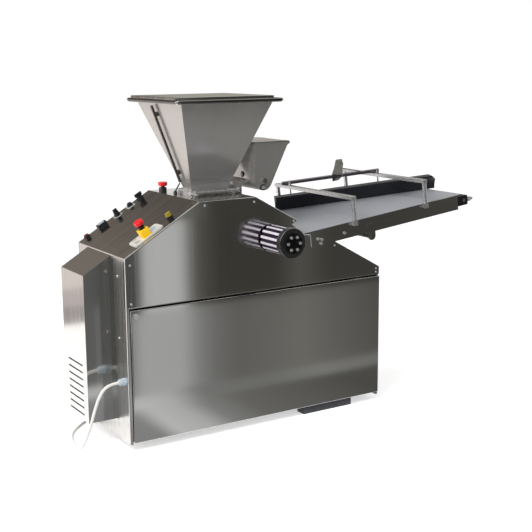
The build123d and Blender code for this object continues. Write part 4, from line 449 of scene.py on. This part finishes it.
def slab_piece(name, place, slabs, finish):
    """One piece of closed slabs: each has an outline, a hole's outline or None, and two heights."""
    mesh = bmesh.new()
    for outer, hole, low, high in slabs:
        under, over = ([mesh.verts.new(place(a, b, h)) for a, b in outer] for h in (low, high))
        steps = [(i, (i + 1) % len(outer)) for i in range(len(outer))]
        for i, j in steps:
            mesh.faces.new((under[i], under[j], over[j], over[i]))
        if hole is None:
            mesh.faces.new(over)
            mesh.faces.new(under[::-1])
            continue
        inner_under, inner_over = ([mesh.verts.new(place(a, b, h)) for a, b in hole] for h in (low, high))
        for i, j in steps:
            mesh.faces.new((inner_under[j], inner_under[i], inner_over[i], inner_over[j]))
            mesh.faces.new((over[i], over[j], inner_over[j], inner_over[i]))
            mesh.faces.new((under[j], under[i], inner_under[i], inner_under[j]))
    bmesh.ops.recalc_face_normals(mesh, faces=mesh.faces)
    data = bpy.data.meshes.new(name)
    mesh.to_mesh(data)
    mesh.free()
    data.materials.append(finish)
    piece = bpy.data.objects.new(name, data)
    bpy.context.scene.collection.objects.link(piece)
    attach(piece, "machine")
    print(name, "slabs", len(slabs), "faces", len(data.polygons))
    return piece


def on_slope(u, y, h):
    """A place on the control slope: u up the slope, y across it, h off it."""
    return at(u * cos(slope_angle) - h * sin(slope_angle), y,
              TAIL_HEIGHT + u * sin(slope_angle) + h * cos(slope_angle))


# %% [markdown]
# The far row of controls: the speed knob's scale runs over 280 degrees, the start button sits in a
# square plate, and the meter has a clear window.

# %% Plates and marks of the controls
FAR_ROW = 440.0
SPEED_U = 202.0
START_U = 272.0
METER_U = 120.0
METER_TOP = 18.0
DIAL_PLATE = 0.8
DIAL_R = 22.0
DIAL_HOLE = 14.6
TICKS = 9
TICK_R = 18.4
TICK_LENGTH = 5.0
TICK_WIDTH = 1.6
SCALE_START = -140.0
TICK_PITCH = 35.0
START_HALF = 19.0
START_HOLE = 13.6
START_PLATE = 2.0
METER_HALF_U = 17.0
METER_HALF_Y = 7.5
BOXY = 10
PRINT = 0.2
WINDOW = 0.4
slab_piece("dial_plate", on_slope,
           [(oval(SPEED_U, FAR_ROW, DIAL_R, DIAL_R), oval(SPEED_U, FAR_ROW, DIAL_HOLE, DIAL_HOLE),
             0, DIAL_PLATE)],
           plate_grey)
ticks = []
for step in range(TICKS):
    angle = radians(SCALE_START + TICK_PITCH * step) + pi / 2
    tick = bar(SPEED_U + TICK_R * cos(angle), FAR_ROW + TICK_R * sin(angle), TICK_LENGTH, TICK_WIDTH, angle)
    ticks.append((tick, None, DIAL_PLATE, DIAL_PLATE + PRINT))
slab_piece("dial_ticks", on_slope, ticks, ink)
slab_piece("start_plate", on_slope,
           [(oval(START_U, FAR_ROW, START_HALF, START_HALF, BOXY),
             oval(START_U, FAR_ROW, START_HOLE, START_HOLE), 0, START_PLATE)],
           plate_grey)
slab_piece("meter_window", on_slope,
           [(oval(METER_U, FAR_ROW, METER_HALF_U, METER_HALF_Y, BOXY), None,
             METER_TOP, METER_TOP + WINDOW)],
           window_blue)

# %% [markdown]
# The legend plate under the near stop switch carries a clear window, an orange mark and some lines
# of print that are too small to read, so they are plain bars.

# %% Window and marks of the legend plate
LEGEND_TOP = 4.0
LEGEND_PRINT = LEGEND_TOP + PRINT
WINDOW_HALF = 17.0
WINDOW_SQUARE = 8
SPOT_LENGTH = 18.0
SPOT_WIDTH = 4.0
MARK_WIDTH = 3.2
MARKS = ((92, 40, 14), (96, 50, 24), (92, 60, 14), (98, 84, 22))
slab_piece("legend_window", on_slope,
           [(oval(181, 68, WINDOW_HALF, WINDOW_HALF, WINDOW_SQUARE), None,
             LEGEND_TOP, LEGEND_TOP + WINDOW)],
           window_blue)
slab_piece("legend_spot", on_slope,
           [(bar(184, 89, SPOT_LENGTH, SPOT_WIDTH), None, LEGEND_TOP, LEGEND_PRINT)],
           orange_mark)
slab_piece("legend_marks", on_slope,
           [(bar(u, y, length, MARK_WIDTH), None, LEGEND_TOP, LEGEND_PRINT) for u, y, length in MARKS],
           ink)

# %% [markdown]
# The flour duster is bolted on: one bolt shows on its end, one on the plate of its arm. A bolt is
# a round washer and a six-sided head, two slabs on the face that carries it. The washer is dark
# steel as painted shadow round the head.

# %% Duster bolts
DUST_NEAR = 110.0
ARM_FACE = 659.0
WASHER_R = 13.0
WASHER = 2.0
BOLT_R = 9.0
BOLT_TOP = 8.0


def on_duster_end(x, z, h):
    """A place on the duster's near end."""
    return at(x, DUST_NEAR - h, z)


def on_duster_arm(y, z, h):
    """A place on the face of the duster's arm, towards the hopper."""
    return at(ARM_FACE - h, y, z)


for name, place, a, b in (("duster_end_bolt", on_duster_end, 701, 1011),
                          ("duster_arm_bolt", on_duster_arm, 209, 1062)):
    # The washer takes the dark steel as painted shadow round the bolt head.
    slab_piece(name + "_washer", place, [(oval(a, b, WASHER_R, WASHER_R), None, 0, WASHER)], oiled_dark_and_painted_shade)
    slab_piece(name, place, [(oval(a, b, BOLT_R, BOLT_R, count=6), None, WASHER, BOLT_TOP)], zinc)

# %% [markdown]
# The power cord leaves its gland, drops to the floor and goes round behind the housing, where the
# length that isn't needed lies in a tied coil. A cord is one smooth line: the route's points are
# the control points of a spline, and a round bevel gives it thickness. The coil's turns are more
# points of the same spline, worked out from its step and its outer reach.

# %% Power cord
CORD_R = 6.0
COIL_MID = (120.0, 565.0)
COIL_OUT = 86.9
COIL_STEP = 12.6
COIL_LOW = 8.0
COIL_HIGH = 20.6
COIL_LEAD = 64.0
HALF_TURNS = 10
FLOOR_HALVES = 5
POINTS_A_HALF = 12
ROUTE = [
    (-32, 30, 291), (-78, 30, 290), (-112, 31, 252), (-132, 34, 198), (-148, 42, 134),
    (-160, 68, 66), (-164, 112, 17), (-161, 174, 6), (-147, 264, 6), (-108, 346, 6),
    (-45, 412, 6), (33.1, 475, 8), (33.1, 553, 8),
]


def coil_reach(half):
    """How far from the coil's middle the cord is after so many half turns."""
    innermost = FLOOR_HALVES + 1
    if half <= innermost:
        return COIL_OUT - half * COIL_STEP / 2
    return COIL_OUT - 2 * COIL_STEP + (half - innermost - 1) * COIL_STEP / 2


def coil_points():
    """Points along the turns: in along the floor, up a layer, and out again on top."""
    points = []
    for step in range(HALF_TURNS * POINTS_A_HALF + POINTS_A_HALF // 2 + 1):
        half, part = divmod(step, POINTS_A_HALF)
        ease = (1 - cos(pi * part / POINTS_A_HALF)) / 2
        reach = coil_reach(half) + (coil_reach(half + 1) - coil_reach(half)) * ease
        layer = 0 if half < FLOOR_HALVES else 1
        climb = ease if half == FLOOR_HALVES else layer
        angle = pi - pi * step / POINTS_A_HALF
        points.append((COIL_MID[0] + reach * cos(angle), COIL_MID[1] + reach * sin(angle),
                       COIL_LOW + (COIL_HIGH - COIL_LOW) * climb))
    return points


def spline_piece(name, points, radius):
    """A round cord along a smooth spline with these control points."""
    line = bpy.data.curves.new(name, "CURVE")
    line.dimensions = "3D"
    spline = line.splines.new("NURBS")
    spline.points.add(len(points) - 1)
    for control, point in zip(spline.points, points):
        control.co = (*at(*point), 1.0)
    spline.order_u = 3
    spline.use_endpoint_u = True
    spline.resolution_u = 6
    line.bevel_depth = radius * MM
    line.bevel_resolution = 5
    line.use_fill_caps = True
    piece = bpy.data.objects.new(name, line)
    bpy.context.scene.collection.objects.link(piece)
    return piece


turns = coil_points()
lead_out = (turns[-1][0] + COIL_LEAD, turns[-1][1], COIL_HIGH)
cord = spline_piece("mains_cord", ROUTE + turns + [lead_out], CORD_R)
cord.data.materials.append(sheath)
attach(cord, "machine")
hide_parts("power_cord", "cord_coil")
print("coil points", len(turns))

# %% [markdown]
# A strap holds the coil together. It is a flat band round the bundle, which is a slab with a hole
# again, set across the coil. Its size is read from the CAD solid that it stands for.

# %% Cord strap
STRAP = 1.6
STRAP_SQUARE = 8
tie_low, tie_high = ((Vector(c) - corner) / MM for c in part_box("cord_tie"))
tie_mid = (tie_low + tie_high) / 2
tie_half = (tie_high - tie_low) / 2


def across_coil(x, z, y):
    """A place in the upright section through the coil."""
    return at(x, y, z)


band, hole = (oval(tie_mid.x, tie_mid.z, tie_half.x - inset, tie_half.z - inset, STRAP_SQUARE, 40)
              for inset in (0, STRAP))
strap = slab_piece("coil_strap", across_coil, [(band, hole, tie_low.y, tie_high.y)], strap_black)
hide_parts("cord_tie")
print("strap", [round(v) for v in tie_low], [round(v) for v in tie_high])

# %% [markdown]
# The studio: a white floor, a soft light from the upper left, and cards that only mirrors can see.
# Bright metal shows what stands around it, so the cards give the sheet its depth: pale towards the
# control end and dark towards the belt in front, brownish behind and above, grey behind for the
# far side, and warm bright ones low behind on the left for the faces of the control end.


# %% Reflection cards
def card(name, low_edge, high_edge, stops):
    """A card between two edges, each a depth and a height; stops are places along X with a colour."""
    left, right_end = stops[0][0], stops[-1][0]
    data = bpy.data.meshes.new(name)
    data.from_pydata([at(left, *low_edge), at(right_end, *low_edge), at(right_end, *high_edge),
                      at(left, *high_edge)], [], [(0, 1, 2, 3)])
    piece = bpy.data.objects.new(name, data)
    bpy.context.scene.collection.objects.link(piece)
    made = bpy.data.materials.new(name)
    made.use_nodes = True
    tree = made.node_tree
    tree.nodes.clear()
    place = add(tree, "ShaderNodeTexCoord")
    axes = add(tree, "ShaderNodeSeparateXYZ", {0: place.outputs["Generated"]})
    ramp = add(tree, "ShaderNodeValToRGB", {0: axes.outputs["X"]})
    points = ramp.color_ramp.elements
    while len(points) < len(stops):
        points.new(0.5)
    for point, (x, colour) in zip(points, stops):
        point.position = (x - left) / (right_end - left)
        point.color = linear(colour)
    light = add(tree, "ShaderNodeEmission", {"Color": ramp.outputs["Color"], "Strength": 1.0})
    add(tree, "ShaderNodeOutputMaterial", {"Surface": light.outputs[0]})
    data.materials.append(made)
    piece.visible_camera = False
    piece.visible_diffuse = False
    piece.visible_shadow = False


FLOOR_OFF = 3
FRONT = -620
FEET = -450
NEAR_FEET = -20
FAR_FEET = 700
BACK = 2100
FAR_BACK = 2400
card("front_low", (FRONT, FLOOR_OFF), (FRONT, 400),
     [(-1800, "70706e"), (240, "70706e"), (350, "c8c8c7"), (560, "c6c6c5"), (650, "9b9b99"),
      (740, "858482"), (860, "777673"), (1090, "7e7d79"), (1250, "84837c"), (1450, "777572"),
      (1720, "65645f"), (4200, "65645f")])
card("front_middle", (FRONT, 400), (FRONT, 820),
     [(-1800, "6c6c6a"), (230, "6c6c6a"), (300, "4c4c4c"), (338, "4c4c4c"), (378, "d8d8d7"),
      (560, "d8d8d7"), (605, "8f8e8b"), (645, "62615d"), (700, "57564f"), (770, "474641"),
      (1100, "474641"), (1230, "64635e"), (1400, "4b4a45"), (1720, "4a4945"), (4200, "605f5c")])
card("front_high", (FRONT, 820), (FRONT, 2400),
     [(-1800, "6a6a68"), (560, "86867f"), (650, "6e6d66"), (740, "4a4944"), (1300, "474641"),
      (1500, "605f5c"), (4200, "605f5c")])
card("floor_near", (FEET, FLOOR_OFF), (NEAR_FEET, FLOOR_OFF),
     [(-1800, "909090"), (200, "a0a0a0"), (280, "e2e2e1"), (430, "d2d2d1"), (540, "9c9c9a"),
      (720, "7e7d7a"), (1345, "5e5d59"), (4200, "5e5d59")])
card("floor_front", (FRONT, FLOOR_OFF), (FEET, FLOOR_OFF),
     [(-1800, "909090"), (300, "e6e6e5"), (460, "d2d2d1"), (600, "8e8e8c"), (1000, "8a8a87"),
      (1300, "9a9a97"), (1700, "8c8b88"), (4200, "8c8b88")])
card("back_high", (BACK, 1300), (2600, 3600),
     [(-2600, "958b82"), (0, "8a8178"), (500, "6a655e"), (900, "6a6760"), (1300, "a8a49c"),
      (5000, "a8a49c")])
card("back_right", (FAR_BACK, FLOOR_OFF), (FAR_BACK, 1050),
     [(150, "a6a6a4"), (900, "8a8a88"), (1700, "9c9c9a"), (4500, "b4b4b2")])
card("floor_back", (FAR_FEET, FLOOR_OFF), (FAR_BACK, FLOOR_OFF),
     [(150, "a8a8a6"), (900, "8e8e8c"), (1700, "a0a09e"), (4500, "b4b4b2")])
for low, high, tone in ((FLOOR_OFF, 110, "bdb5b2"), (110, 220, "ded3cf"), (220, 1200, "fff4ed")):
    card(f"back_left_{low}", (BACK, low), (BACK, high), [(-2500, tone), (100, tone)])
print("cards", 11)

# %% [markdown]
# The floor and the world are white to the camera and to mirrors, by their own light, and light
# the machine itself at a plain level. The floor keeps the machine's shadow.

# %% Floor
REACH = 14000
FLOOR_GLOW = 0.55
floor_data = bpy.data.meshes.new("floor")
floor_data.from_pydata([at(-REACH, -REACH, 0), at(REACH, -REACH, 0), at(REACH, REACH, 0),
                        at(-REACH, REACH, 0)], [], [(0, 1, 2, 3)])
floor = bpy.data.objects.new("floor", floor_data)
bpy.context.scene.collection.objects.link(floor)
floor_paint, tree, shader, spot = start("studio_floor")
path = add(tree, "ShaderNodeLightPath")
seen = add(tree, "ShaderNodeMath", {0: path.outputs["Is Camera Ray"],
                                    1: path.outputs["Is Glossy Ray"]}, operation="MAXIMUM")
lift = add(tree, "ShaderNodeMath", {0: seen.outputs[0], 1: FLOOR_GLOW}, operation="MULTIPLY")
feed(tree, shader, {"Base Color": linear("f4f4f3"), "Roughness": 0.9, "Specular IOR Level": 0.0,
                    "Emission Color": linear("ffffff"), "Emission Strength": lift.outputs[0]})
floor_data.materials.append(floor_paint)
print("floor", 2 * REACH * MM, "m across")

# %% [markdown]
# The world is white in the same way. One large soft lamp stands on the upper left, where the
# photograph's brightest edges point, and a weaker one stands behind it like a window.

# %% World and lights
WORLD_LIGHT = 0.55
world = bpy.data.worlds.new("studio")
bpy.context.scene.world = world
world.use_nodes = True
tree = world.node_tree
path = add(tree, "ShaderNodeLightPath")
seen = add(tree, "ShaderNodeMath", {0: path.outputs["Is Camera Ray"],
                                    1: path.outputs["Is Glossy Ray"]}, operation="MAXIMUM")
seen = add(tree, "ShaderNodeMath", {0: seen.outputs[0],
                                    1: path.outputs["Is Transmission Ray"]}, operation="MAXIMUM")
level_of = add(tree, "ShaderNodeMapRange", {"Value": seen.outputs[0], "To Min": WORLD_LIGHT,
                                            "To Max": 1.0})
feed(tree, tree.nodes["Background"], {"Color": linear("ffffff"), "Strength": level_of.outputs[0]})


def softbox(name, place, target, width, height, watts, tint):
    """A soft lamp that looks from one place to another; its sides are in metres."""
    lamp = bpy.data.lights.new(name, "AREA")
    lamp.shape = "RECTANGLE"
    lamp.size = width
    lamp.size_y = height
    lamp.energy = watts
    lamp.color = linear(tint)[:3]
    piece = bpy.data.objects.new(name, lamp)
    piece.location = at(*place)
    aim = at(*target) - at(*place)
    piece.rotation_mode = "QUATERNION"
    piece.rotation_quaternion = aim.to_track_quat("-Z", "Y")
    bpy.context.scene.collection.objects.link(piece)


softbox("key_light", (-2200, -1200, 3600), (500, 200, 700), 2.4, 2.0, 150, "fffaf5")
softbox("left_window", (-3000, 1600, 1500), (0, 200, 700), 2.0, 2.4, 60, "fff1ea")
print("lights", 2)
